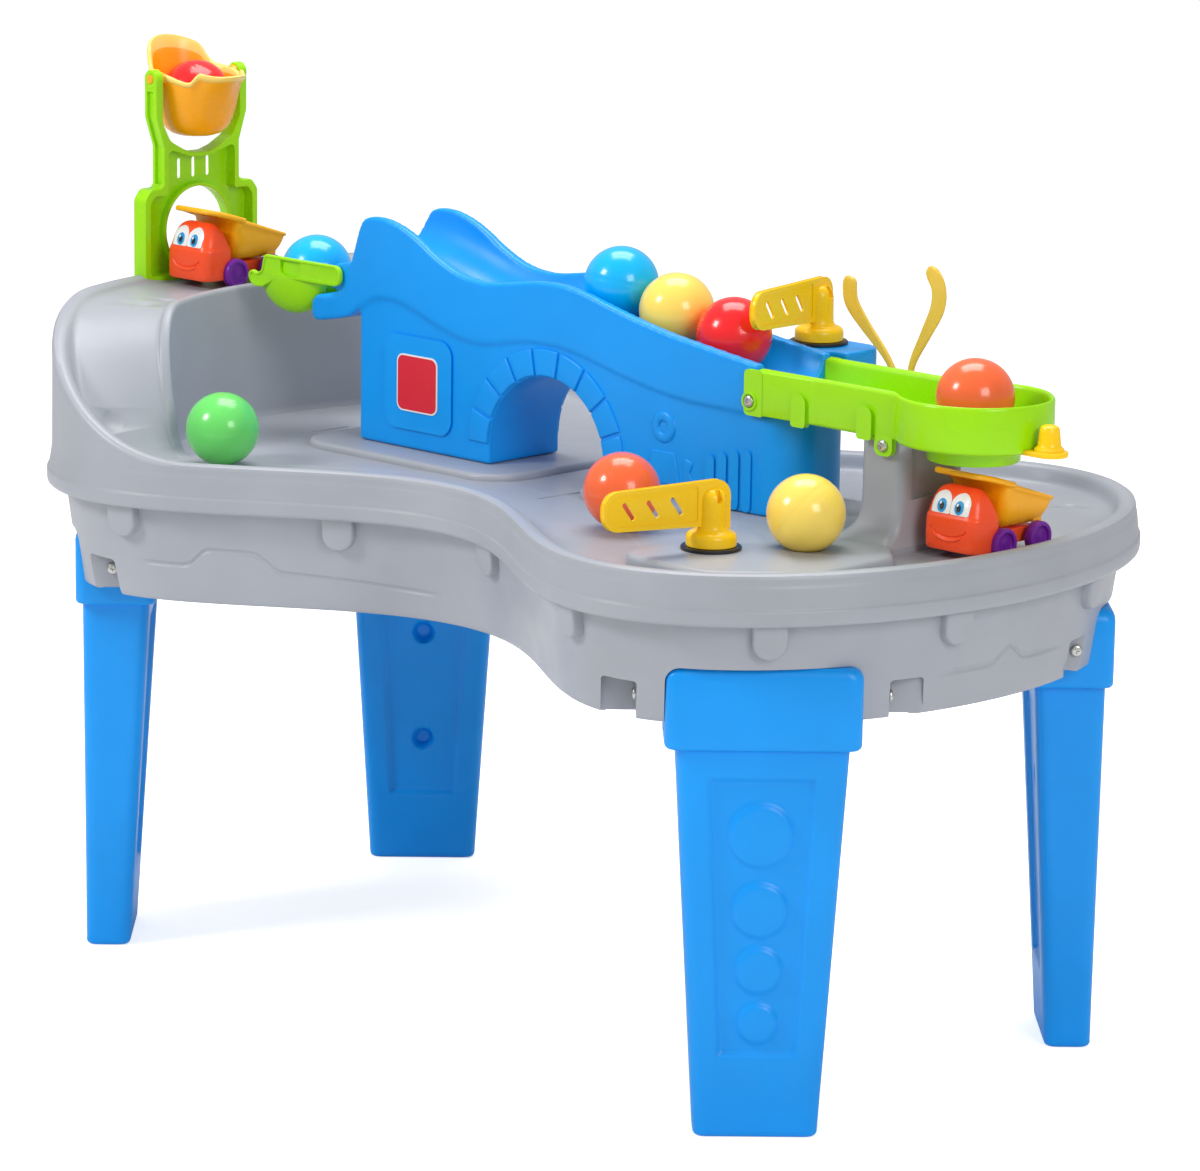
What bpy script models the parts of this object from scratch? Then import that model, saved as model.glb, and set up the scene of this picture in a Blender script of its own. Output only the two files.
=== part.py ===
"""Ball run activity table: a moulded table top on four legs, with a ramped road, a hill with a
half-pipe track, a tipping bucket on a tower, a scoop, two flippers, a drop gate, balls and trucks.

Metres, +Z up. The origin is on the floor, midway between the legs. +X runs along the ball track,
+Y to the back of the table.
"""
import math

import bmesh
import bpy
from mathutils import Matrix, Vector

# General fits and thicknesses
SEAT_GAP = 0.0003
TURN_GAP = 0.0004
BALL_RADIUS = 0.035
WALL = 0.008

# Table top, seen from above: two lobes joined by a waist
LOBE_CENTRE_X = 0.330
LOBE_REACH = 0.222
HALF_WIDTH = 0.328
WAIST_DROP = 0.142
WAIST_HALF_WIDTH = HALF_WIDTH - WAIST_DROP
LOBE_STEPS = 26
WAIST_STEPS = 16

# Table top, heights
FLOOR_Z = 0.493
RIM_RISE = 0.017
BEAD_DROP = 0.029
SKIRT_DROP = 0.121
BEAD_FLAT = 0.022
SKIRT_TOP_INSET = 0.018
SKIRT_BOTTOM_INSET = 0.030
CREST_INSET = 0.013
ROAD_OUTER_INSET = 0.029
ROAD_INNER_INSET = 0.108
RIDGE_WIDTH = 0.013
RIDGE_RISE = 0.005

# Raised deck round the left end
DECK_RISE = 0.130
DECK_RIM_RISE = 0.009
RAMP_LEAD = 0.465
RAMP_LENGTH = 1.47
ROAD_LAG = 0.19
ROAD_SHARE = 0.73
UNDER_LAG = 0.08

# Legs
LEG_INSET_X = 0.106
LEG_OFFSET_Y = 0.099
LEG_X = LOBE_CENTRE_X + LOBE_REACH - LEG_INSET_X
LEG_Y = HALF_WIDTH - LEG_OFFSET_Y
LEG_FOOT_WIDTH = 0.109
LEG_FOOT_DEPTH = 0.043
LEG_TOP_WIDTH = 0.151
LEG_TOP_DEPTH = 0.065
LEG_SHOULDER_Z = 0.350
COLLAR_WIDTH = 0.171
COLLAR_DEPTH = 0.078
COLLAR_PROUD = 0.006
COLLAR_HEIGHT = 0.072
TENON_WIDTH = 0.140
TENON_DEPTH = 0.046
PANEL_SINK = 0.004
LEG_DISC_RADII = (0.0285, 0.0245, 0.0210, 0.0180)
LEG_DISC_HEIGHTS = (0.272, 0.205, 0.151, 0.103)
SOCKET_BLOCK = 0.024
TRIM = 0.003
BLOCK_LOW_INSET = 0.034
BLOCK_HIGH_INSET = 0.022
POCKET_DEPTH = 0.047
POCKET_BACK = 0.008
POCKET_WIDTH = 0.030
POCKET_HEIGHT = 0.030
SCREW_RISE = 0.041
SCREW_INSET = 0.033
SCREW_HEAD_RADIUS = 0.0055
SCREW_HEAD_HEIGHT = 0.003
SCREW_SHANK_RADIUS = 0.0025
LEG_SCREW_GRIP = 0.014

# Hill with its half-pipe track and tunnel
PLINTH_RISE = 0.007
HILL_HALF_WIDTH = 0.050
BODY_INSET = 0.003
HILL_LEFT_X = -0.256
HILL_RIGHT_X = 0.306
HILL_END_RADIUS = 0.040
TRACK_END_X = 0.268
CHANNEL_RADIUS = 0.0405
CHANNEL_DEPTH = 0.031
TUNNEL_HALF_WIDTH = 0.075
TUNNEL_RISE = 0.094
STONE_WIDTH = 0.026
STONE_COUNT = 9
STONE_GAP_ANGLE = 0.035
PANEL_SIDE = 0.088
PANEL_X = -0.171
PANEL_RISE = 0.065
BADGE_SIDE = 0.055
BADGE_THICKNESS = 0.0008
SHELF_LEFT_X = 0.186
SHELF_RIGHT_X = 0.278
SHELF_DEPTH = 0.066
LAP_ROOM = 0.010
SHELF_THICKNESS = 0.040
SHELF_LIFT = 0.0025

# Outlet track and bowl
OUTLET_TOP_Z = 0.638
OUTLET_WALL = 0.005
OUTLET_HEIGHT = 0.043
BOWL_X = 0.480
BOWL_RADIUS = 0.070
BOWL_HOLE_RADIUS = 0.0375
HOUSING_RADIUS = 0.054
HOUSING_DROP = 0.011
CHUTE_WALL = 0.005
CHUTE_DROP = 0.004
PILLAR_LEFT_X = 0.386
PILLAR_RIGHT_X = 0.434
PILLAR_TOP_RIGHT_X = 0.447
PILLAR_HALF_WIDTH = 0.044

# Drop gate
GATE_THICKNESS = 0.0045
GATE_HALF_WIDTH = 0.015
GATE_REACH = 0.022
GATE_KNOB_X = 0.5645
GATE_END_RADIUS = 0.017
GATE_KNOB_RADIUS = 0.011
GATE_KNOB_HEIGHT = 0.030
GATE_TRAVEL = 0.058

# Flippers
PAD_RISE = 0.010
FRONT_POST = (0.338, -0.183)
REAR_POST = (0.222, 0.084)
FRONT_PADDLE_ANGLE = math.radians(257)
REAR_PADDLE_ANGLE = math.radians(279.5)
RING_RADIUS = 0.027
RING_HEIGHT = 0.003
FLANGE_RADIUS = 0.0225
FLANGE_HEIGHT = 0.014
POST_RADIUS = 0.0128
POST_HEIGHT = 0.056
PADDLE_LENGTH = 0.113
PADDLE_HEIGHT = 0.038
PADDLE_THICKNESS = 0.006
PADDLE_LOW_Z = 0.019
PADDLE_SLOT = 0.0045
PIVOT_PIN_RADIUS = 0.004
PIVOT_PIN_LENGTH = 0.030
PIVOT_HEAD_RADIUS = 0.007
PIVOT_HEAD_HEIGHT = 0.003

# Fork behind the outlet track
FORK_X = 0.320
FORK_DROP = 0.034
FORK_THICKNESS = 0.010
FORK_HUB_RADIUS = 0.009
FORK_PIN_RADIUS = 0.0035
FORK_STANDOFF = 0.040
FORK_REACH = 0.120

# Tower and bucket
TOWER_X = -0.531
TOWER_Y = -0.012
TOWER_DEPTH = 0.018
TOWER_PLATE = 0.005
TOWER_BORDER = 0.007
TOWER_BASE_WIDTH = 0.150
TOWER_BASE_HEIGHT = 0.094
TOWER_NECK_WIDTH = 0.100
TOWER_NECK_TOP = 0.135
TOWER_PIVOT_RISE = 0.203
TOWER_HOLE_RADIUS = 0.042
ARM_GAP = 0.102
ARM_THICKNESS = 0.009
ARM_EYE_RADIUS = 0.010
TRUNNION_RADIUS = 0.0045
BUCKET_RADIUS = 0.0455
BUCKET_BOTTOM_RADIUS = 0.037
BUCKET_DEPTH = 0.060
BUCKET_WALL = 0.003
BUCKET_LIP_RISE = 0.036
BUCKET_SPOUT = 0.026

# Scoop
SCOOP_PIVOT_X = -0.284
SCOOP_PIVOT_Z = 0.657
SCOOP_BALL_X = -0.355
SCOOP_BALL_Y = -0.010
SCOOP_BALL_Z = 0.650
SCOOP_WALL = 0.003
SCOOP_PLATE = 0.005
SCOOP_PIN_RADIUS = 0.004
EAR_WIDTH = 0.012

# Trucks
TRUCK_LENGTH = 0.104
CAB_WIDTH = 0.062
CAB_LENGTH = 0.040
CAB_HEIGHT = 0.056
TRUCK_CLEARANCE = 0.008
FRAME_WIDTH = 0.044
FRAME_HEIGHT = 0.013
WHEEL_RADIUS = 0.0145
WHEEL_WIDTH = 0.009
WHEEL_TRACK = 0.065
WHEEL_BASE = 0.056
HUB_FACE = 0.0025
AXLE_RADIUS = 0.002
BED_WIDTH = 0.066
BED_HEIGHT = 0.030
BED_WALL = 0.002
BED_HINGE_INSET = 0.010


def clear_scene():
    for item in list(bpy.data.objects):
        bpy.data.objects.remove(item, do_unlink=True)


def make_material(name, colour, roughness, metallic=0.0):
    material = bpy.data.materials.get(name)
    if material is None:
        material = bpy.data.materials.new(name)
        material.use_nodes = True
        shader = material.node_tree.nodes["Principled BSDF"]
        shader.inputs["Base Color"].default_value = (*colour, 1.0)
        shader.inputs["Roughness"].default_value = roughness
        shader.inputs["Metallic"].default_value = metallic
    return material


def grey_plastic():
    return make_material("grey_moulded_plastic", (0.42, 0.44, 0.49), 0.45)


def blue_plastic():
    return make_material("blue_moulded_plastic", (0.005, 0.30, 0.80), 0.40)


def green_plastic():
    return make_material("green_plastic", (0.27, 0.60, 0.01), 0.30)


def yellow_plastic():
    return make_material("yellow_plastic", (0.95, 0.55, 0.03), 0.30)


def black_plastic():
    return make_material("black_plastic", (0.01, 0.01, 0.01), 0.50)


def steel():
    return make_material("zinc_plated_steel", (0.62, 0.62, 0.60), 0.30, 1.0)


def add_object(name, mesh, material, location=(0, 0, 0), rotation=(0, 0, 0)):
    item = bpy.data.objects.new(name, mesh)
    item.location = location
    item.rotation_euler = rotation
    if material is not None:
        mesh.materials.append(material)
    bpy.context.collection.objects.link(item)
    return item


def make_guide(item):
    item.hide_render = True
    item.display_type = "WIRE"
    return item


def mesh_from_bmesh(name, bm):
    bmesh.ops.recalc_face_normals(bm, faces=bm.faces)
    mesh = bpy.data.meshes.new(name)
    bm.to_mesh(mesh)
    bm.free()
    return mesh


def add_loft(bm, rings):
    """Joins closed rings of points, in order, and caps both ends."""
    loops = [[bm.verts.new(point) for point in ring] for ring in rings]
    count = len(loops[0])
    for lower, upper in zip(loops, loops[1:]):
        for i in range(count):
            j = (i + 1) % count
            bm.faces.new((lower[i], lower[j], upper[j], upper[i]))
    bm.faces.new(loops[0])
    bm.faces.new(loops[-1])


def loft_mesh(name, rings):
    bm = bmesh.new()
    add_loft(bm, rings)
    return mesh_from_bmesh(name, bm)


def add_turned(bm, profile, steps, matrix=None):
    """Turns a profile of (radius, height) about Z; radius 0 makes a pole."""
    loops = []
    for radius, height in profile:
        if radius < 1e-6:
            loops.append([bm.verts.new((0, 0, height))])
            continue
        ring = []
        for i in range(steps):
            angle = 2 * math.pi * i / steps
            ring.append(bm.verts.new((radius * math.cos(angle), radius * math.sin(angle), height)))
        loops.append(ring)
    for lower, upper in zip(loops, loops[1:]):
        for i in range(steps):
            j = (i + 1) % steps
            if len(lower) == 1:
                bm.faces.new((lower[0], upper[j], upper[i]))
            elif len(upper) == 1:
                bm.faces.new((lower[i], lower[j], upper[0]))
            else:
                bm.faces.new((lower[i], lower[j], upper[j], upper[i]))
    for ring in (loops[0], loops[-1]):
        if len(ring) > 1:
            bm.faces.new(ring)
    if matrix is not None:
        points = [vert for ring in loops for vert in ring]
        bmesh.ops.transform(bm, matrix=matrix, verts=points)


def turned_mesh(name, profile, steps, matrix=None):
    bm = bmesh.new()
    add_turned(bm, profile, steps, matrix)
    return mesh_from_bmesh(name, bm)


def rod_mesh(name, radius, start, end, steps=16):
    """A round bar from one point to another."""
    start = Vector(start)
    axis = Vector(end) - start
    turn = Vector((0, 0, 1)).rotation_difference(axis).to_matrix().to_4x4()
    place = Matrix.Translation(start) @ turn
    return turned_mesh(name, [(radius, 0), (radius, axis.length)], steps, place)


def add_prism(bm, outline, low, high, axis="Z"):
    """Extrudes a flat outline along an axis; the outline holds the other two coordinates."""
    def point(a, b, height):
        if axis == "X":
            return (height, a, b)
        if axis == "Y":
            return (a, height, b)
        return (a, b, height)
    rings = [[point(a, b, height) for a, b in outline] for height in (low, high)]
    add_loft(bm, rings)


def prism_mesh(name, outline, low, high, axis="Z"):
    bm = bmesh.new()
    add_prism(bm, outline, low, high, axis)
    return mesh_from_bmesh(name, bm)


def box_mesh(name, low, high):
    outline = [(low[0], low[1]), (high[0], low[1]), (high[0], high[1]), (low[0], high[1])]
    return prism_mesh(name, outline, low[2], high[2])


def rounded_outline(corners, radii, steps=4):
    """Rounds each corner of a polygon, given counter-clockwise, with an arc of its own radius."""
    points = []
    count = len(corners)
    for i in range(count):
        corner = Vector(corners[i])
        before = (Vector(corners[i - 1]) - corner).normalized()
        after = (Vector(corners[(i + 1) % count]) - corner).normalized()
        radius = radii[i] if isinstance(radii, (list, tuple)) else radii
        half = before.angle(after) / 2
        if radius <= 0:
            points.append(tuple(corner))
            continue
        reach = radius / math.tan(half)
        middle = corner + (before + after).normalized() * radius / math.sin(half)
        first = corner + before * reach - middle
        sweep = math.pi - 2 * half
        turn = first.x * (after.y - before.y) - first.y * (after.x - before.x)
        sign = 1 if turn > 0 else -1
        for k in range(steps + 1):
            spin = Matrix.Rotation(sign * sweep * k / steps, 2)
            points.append(tuple(middle + spin @ first))
    return points


def rectangle(half_x, half_y, x=0.0, y=0.0):
    return [(x - half_x, y - half_y), (x + half_x, y - half_y), (x + half_x, y + half_y), (x - half_x, y + half_y)]


def combine(item, other, operation, crossing):
    modifier = item.modifiers.new(operation.lower() + "_" + other.name, "BOOLEAN")
    modifier.operation = operation
    modifier.solver = "EXACT"
    modifier.use_self = crossing
    modifier.object = make_guide(other)


def cut(item, other, crossing=False):
    """Takes the guide away; crossing is for a guide whose own parts run into one another."""
    combine(item, other, "DIFFERENCE", crossing)


def fuse(item, other, crossing=False):
    combine(item, other, "UNION", crossing)


def round_shading(item, angle=35):
    item.data.shade_smooth()
    item.data.set_sharp_from_angle(angle=math.radians(angle))


def smooth_step(value):
    value = min(1.0, max(0.0, value))
    return value * value * (3 - 2 * value)


def curve_value(points, x):
    """Reads a smooth curve through (x, value) points, level at each end."""
    if x <= points[0][0]:
        return points[0][1]
    if x >= points[-1][0]:
        return points[-1][1]
    i = max(k for k in range(len(points) - 1) if points[k][0] <= x)
    x0, y0 = points[i]
    x1, y1 = points[i + 1]
    before = points[max(i - 1, 0)]
    after = points[min(i + 2, len(points) - 1)]
    slope0 = (y1 - before[1]) / (x1 - before[0])
    slope1 = (after[1] - y0) / (after[0] - x0)
    t = (x - x0) / (x1 - x0)
    span = x1 - x0
    return (
        (2 * t**3 - 3 * t**2 + 1) * y0
        + (t**3 - 2 * t**2 + t) * span * slope0
        + (3 * t**2 - 2 * t**3) * y1
        + (t**3 - t**2) * span * slope1
    )


# Table top

BEAD_LOW_Z = FLOOR_Z - BEAD_DROP
SKIRT_LOW_Z = FLOOR_Z - SKIRT_DROP
DECK_Z = FLOOR_Z + DECK_RISE
PLINTH_Z = FLOOR_Z + PLINTH_RISE
PAD_Z = FLOOR_Z + PAD_RISE


def table_contour():
    """The outermost line of the rim bead, counter-clockwise from the front of the right lobe,
    as (point, outward direction, climb): climb is 0 at floor level and 1 on the raised deck."""
    points = []
    climbs = []
    for k in range(LOBE_STEPS):
        angle = math.pi * (k / LOBE_STEPS - 0.5)
        points.append((LOBE_CENTRE_X + LOBE_REACH * math.cos(angle), HALF_WIDTH * math.sin(angle)))
        climbs.append(0.0)
    for k in range(WAIST_STEPS):
        x = LOBE_CENTRE_X * (1 - 2 * k / WAIST_STEPS)
        points.append((x, waist_y(x)))
        climbs.append(ramp_climb((-LOBE_CENTRE_X - x) / LOBE_REACH))
    for k in range(LOBE_STEPS):
        angle = math.pi * (k / LOBE_STEPS + 0.5)
        points.append((-LOBE_CENTRE_X + LOBE_REACH * math.cos(angle), HALF_WIDTH * math.sin(angle)))
        climbs.append(ramp_climb(min(angle - 0.5 * math.pi, 1.5 * math.pi - angle)))
    for k in range(WAIST_STEPS):
        x = -LOBE_CENTRE_X * (1 - 2 * k / WAIST_STEPS)
        points.append((x, -waist_y(x)))
        climbs.append(ramp_climb((-LOBE_CENTRE_X - x) / LOBE_REACH))
    contour = []
    count = len(points)
    for i in range(count):
        before = points[i - 1]
        after = points[(i + 1) % count]
        along = Vector((after[0] - before[0], after[1] - before[1])).normalized()
        contour.append((Vector(points[i]), Vector((along.y, -along.x)), climbs[i]))
    return contour


def waist_y(x):
    rise = math.sin(math.pi / 2 * min(1.0, abs(x) / LOBE_CENTRE_X)) ** 2
    return WAIST_HALF_WIDTH + (HALF_WIDTH - WAIST_HALF_WIDTH) * rise


def ramp_climb(turn):
    """Position on the ramp, by the angle round the left lobe from its front or back."""
    return min(1.0, max(0.0, (turn + RAMP_LEAD) / RAMP_LENGTH))


def ring_points(contour, inset, height):
    """One ring of the table top; height is a function of climb."""
    ring = []
    for point, outward, climb in contour:
        place = point - outward * inset
        ring.append((place.x, place.y, height(climb)))
    return ring


def road_climb(climb):
    """The road starts up later than the rim and reaches the deck sooner."""
    return smooth_step((climb - ROAD_LAG) / ROAD_SHARE)


def road_z(climb):
    return FLOOR_Z + DECK_RISE * road_climb(climb)


def crest_z(climb):
    return FLOOR_Z + RIM_RISE + (DECK_RISE + DECK_RIM_RISE - RIM_RISE) * smooth_step(climb)


def ridge_z(climb):
    return road_z(climb) + RIDGE_RISE * min(1.0, 3 * road_climb(climb))


def tray_rings():
    contour = table_contour()
    basin_inset = ROAD_INNER_INSET + RIDGE_WIDTH
    skirt_inner = SKIRT_BOTTOM_INSET + WALL
    bead_top_z = BEAD_LOW_Z + BEAD_FLAT

    def level(height):
        return lambda climb: height

    def under(climb):
        return road_z(climb - UNDER_LAG) - WALL

    steps = [
        (ROAD_INNER_INSET + 0.004, level(FLOOR_Z - WALL)),
        (ROAD_INNER_INSET - 0.012, under),
        (CREST_INSET + 0.003, under),
        (SKIRT_TOP_INSET + WALL + 0.001, level(BEAD_LOW_Z)),
        (skirt_inner, level(SKIRT_LOW_Z)),
        (SKIRT_BOTTOM_INSET, level(SKIRT_LOW_Z)),
        (SKIRT_TOP_INSET, level(BEAD_LOW_Z)),
        (0.003, level(BEAD_LOW_Z)),
        (0.0, level(BEAD_LOW_Z + 0.004)),
        (0.0, level(bead_top_z)),
        (0.004, lambda climb: max(bead_top_z + 0.008, crest_z(climb) - 0.009)),
        (0.008, lambda climb: crest_z(climb) - 0.002),
        (CREST_INSET, crest_z),
        (CREST_INSET + 0.009, lambda climb: max(road_z(climb) + 0.002, crest_z(climb) - 0.011)),
        (ROAD_OUTER_INSET, road_z),
        (ROAD_INNER_INSET, road_z),
        (ROAD_INNER_INSET + 0.004, ridge_z),
        (ROAD_INNER_INSET + 0.009, ridge_z),
        (basin_inset - 0.001, lambda climb: max(FLOOR_Z, ridge_z(climb) - 0.006)),
        (basin_inset + 0.003, level(FLOOR_Z)),
    ]
    return [ring_points(contour, inset, height) for inset, height in steps]


def leg_frames():
    """Each leg's name, the centre of its outer face on the floor, and its outward angle."""
    return [
        ("leg_front_right", Vector((LEG_X, -LEG_Y, 0)), math.radians(-45)),
        ("leg_back_right", Vector((LEG_X, LEG_Y, 0)), math.radians(45)),
        ("leg_back_left", Vector((-LEG_X, LEG_Y, 0)), math.radians(135)),
        ("leg_front_left", Vector((-LEG_X, -LEG_Y, 0)), math.radians(-135)),
    ]


def leg_matrix(centre, outward_angle):
    """Local +Y points outwards and local X runs across the leg."""
    return Matrix.Translation(centre) @ Matrix.Rotation(outward_angle - math.pi / 2, 4, "Z")


def leg_local_box(bm, matrix, low, high):
    start = len(bm.verts)
    outline = [(low[0], low[1]), (high[0], low[1]), (high[0], high[1]), (low[0], high[1])]
    add_prism(bm, outline, low[2], high[2])
    bm.verts.ensure_lookup_table()
    bmesh.ops.transform(bm, matrix=matrix, verts=bm.verts[start:])


COLLAR_TOP_Z = LEG_SHOULDER_Z + COLLAR_HEIGHT
LEG_SCREW_Z = LEG_SHOULDER_Z + SCREW_RISE
BLOCK_START = COLLAR_WIDTH / 2 + SEAT_GAP
BLOCK_END = BLOCK_START + SOCKET_BLOCK


def add_socket_block(bm, matrix, side, block_top):
    """The block inside the skirt at one side of a leg: its outer face runs within the skirt's wall,
    and it backs the pocket of the screw."""
    local = matrix.inverted()
    near = BLOCK_START - TRIM
    far = BLOCK_END + POCKET_WIDTH + POCKET_BACK
    steps = 5
    levels = (
        (SKIRT_LOW_Z + 0.0006, BLOCK_LOW_INSET), (BEAD_LOW_Z, BLOCK_HIGH_INSET), (block_top, BLOCK_HIGH_INSET),
    )
    rings = []
    for height, inset in levels:
        face = []
        for point, outward, climb in table_contour():
            place = point - outward * inset
            spot = local @ Vector((place.x, place.y, 0))
            if spot.y > -0.100 and abs(spot.x) < far + 0.040:
                face.append((spot.x * side, spot.y))
        face.sort()
        outline = []
        for k in range(steps + 1):
            x = near + (far - near) * k / steps
            outline.append((x * side, line_value(face, x)))
        back = -COLLAR_DEPTH + COLLAR_PROUD
        outline.append((far * side, min(back, line_value(face, far) - POCKET_BACK)))
        outline.append((near * side, back))
        rings.append([matrix @ Vector((x, y, height)) for x, y in outline])
    add_loft(bm, rings)


def line_value(points, x):
    """Reads a broken line through sorted (x, value) points."""
    for (x0, y0), (x1, y1) in zip(points, points[1:]):
        if x0 <= x <= x1:
            return y0 + (y1 - y0) * (x - x0) / max(1e-9, x1 - x0)
    return points[-1][1]


def build_tray():
    tray = add_object("tray", loft_mesh("tray", tray_rings()), grey_plastic())

    sockets = bmesh.new()
    mouths = bmesh.new()
    pockets = bmesh.new()
    for name, centre, angle in leg_frames():
        matrix = leg_matrix(centre, angle)
        block_top = FLOOR_Z - WALL / 2
        for side in (-1, 1):
            add_socket_block(sockets, matrix, side, block_top)
            seat = side * BLOCK_END
            edge = side * (BLOCK_END + POCKET_WIDTH)
            pocket_low = (min(seat, edge), -POCKET_DEPTH, SKIRT_LOW_Z - 0.010)
            pocket_high = (max(seat, edge), 0.060, LEG_SCREW_Z + POCKET_HEIGHT / 2)
            leg_local_box(pockets, matrix, pocket_low, pocket_high)
        mouth_low = (-BLOCK_START, -COLLAR_DEPTH, SKIRT_LOW_Z - 0.010)
        mouth_high = (BLOCK_START, 0.060, COLLAR_TOP_Z + SEAT_GAP)
        leg_local_box(mouths, matrix, mouth_low, mouth_high)
    fuse(tray, add_object("socket_guide", mesh_from_bmesh("socket_guide", sockets), None))
    cut(tray, add_object("mouth_guide", mesh_from_bmesh("mouth_guide", mouths), None))
    cut(tray, add_object("pocket_guide", mesh_from_bmesh("pocket_guide", pockets), None))

    plinth = rounded_outline(
        rectangle(0.140, 0.088, -0.165, 0.0), [0.040, 0.040, 0.040, 0.030], 5
    )
    slabs = bmesh.new()
    add_prism(slabs, plinth, FLOOR_Z - WALL / 2, PLINTH_Z)
    fuse(tray, add_object("plinth_guide", mesh_from_bmesh("plinth_guide", slabs), None))

    pad_corners = [(0.064, -0.078), (0.262, -0.078), (0.290, -0.112), (0.290, -0.258), (0.400, -0.258),
                   (0.468, -0.190), (0.468, -0.088), (0.437, -0.058), (0.437, 0.070), (0.300, 0.078), (0.064, 0.078)]
    pad_radii = [0.020, 0.020, 0.020, 0.030, 0.050, 0.040, 0.015, 0.015, 0.015, 0.015, 0.020]
    pad = rounded_outline(pad_corners, pad_radii, 4)
    fuse(tray, add_object("pad_guide", prism_mesh("pad_guide", pad, FLOOR_Z - WALL / 2 + 0.0003, PAD_Z), None))

    fuse(tray, add_object("pillar_guide", pillar_mesh(), None))
    room = HOUSING_RADIUS + SEAT_GAP
    around = turned_mesh("housing_room", [(room, PILLAR_TOP_Z - 0.045), (room, PILLAR_TOP_Z + 0.010)], 28)
    cut(tray, add_object("housing_room_guide", around, None, (BOWL_X, 0, 0)))

    notch_high = DECK_Z + 0.030
    notch = box_mesh("tower_notch", (TOWER_X - 0.040, TOWER_Y - TOWER_BASE_WIDTH / 2 - SEAT_GAP, DECK_Z),
                     (TOWER_X + TOWER_DEPTH / 2, TOWER_Y + TOWER_BASE_WIDTH / 2 + SEAT_GAP, notch_high))
    cut(tray, add_object("tower_notch_guide", notch, None))

    dimples = bmesh.new()
    seat = YELLOW_BALL_PLACE
    bmesh.ops.create_icosphere(
        dimples, subdivisions=3, radius=BALL_RADIUS + 0.001,
        matrix=Matrix.Translation((seat[0], seat[1], seat[2])),
    )
    cut(tray, add_object("dimple_guide", mesh_from_bmesh("dimple_guide", dimples), None))

    holes = bmesh.new()
    for name, centre, angle in leg_frames():
        matrix = leg_matrix(centre, angle)
        for side in (-1, 1):
            lying = matrix @ Matrix.Translation((side * 0.080, -SCREW_INSET, LEG_SCREW_Z))
            lying = lying @ Matrix.Rotation(side * math.pi / 2, 4, "Y")
            radius = SCREW_SHANK_RADIUS + TURN_GAP
            add_turned(holes, [(radius, 0), (radius, 0.060)], 10, lying)
    x, y = FRONT_POST
    radius = PIVOT_PIN_RADIUS + TURN_GAP
    add_turned(holes, [(radius, 0), (radius, 0.060)], 16, Matrix.Translation((x, y, PAD_Z - 0.030)))
    cut(tray, add_object("hole_guide", mesh_from_bmesh("hole_guide", holes), None))
    round_shading(tray)


PILLAR_TOP_Z = OUTLET_TOP_Z - OUTLET_HEIGHT - SEAT_GAP


def pillar_mesh():
    rings = []
    foot_z = PAD_Z - WALL / 2
    height = PILLAR_TOP_Z - foot_z
    reach = PILLAR_TOP_RIGHT_X - PILLAR_RIGHT_X
    steps = ((0.0, 0.024, 0.0), (0.10, 0.012, 0.0), (0.28, 0.004, 0.0), (0.55, 0.0, 0.0), (0.84, 0.0, 0.1),
             (0.92, 0.0, 0.6), (1.0, 0.0, 1.0))
    for share, flare, spread in steps:
        left = PILLAR_LEFT_X - flare
        right = PILLAR_RIGHT_X + flare * 0.08 + reach * spread
        half = PILLAR_HALF_WIDTH + flare
        corners = [(left, -half), (right, -half), (right, half), (left, half)]
        outline = rounded_outline(corners, 0.008, 4)
        rings.append([(x, y, foot_z + share * height) for x, y in outline])
    return loft_mesh("pillar_guide", rings)


# Legs

def leg_ring(width, depth, front, height, radius):
    outline = rounded_outline(rectangle(width / 2, depth / 2, 0.0, front - depth / 2), radius, 2)
    return [(x, y, height) for x, y in outline]


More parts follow.
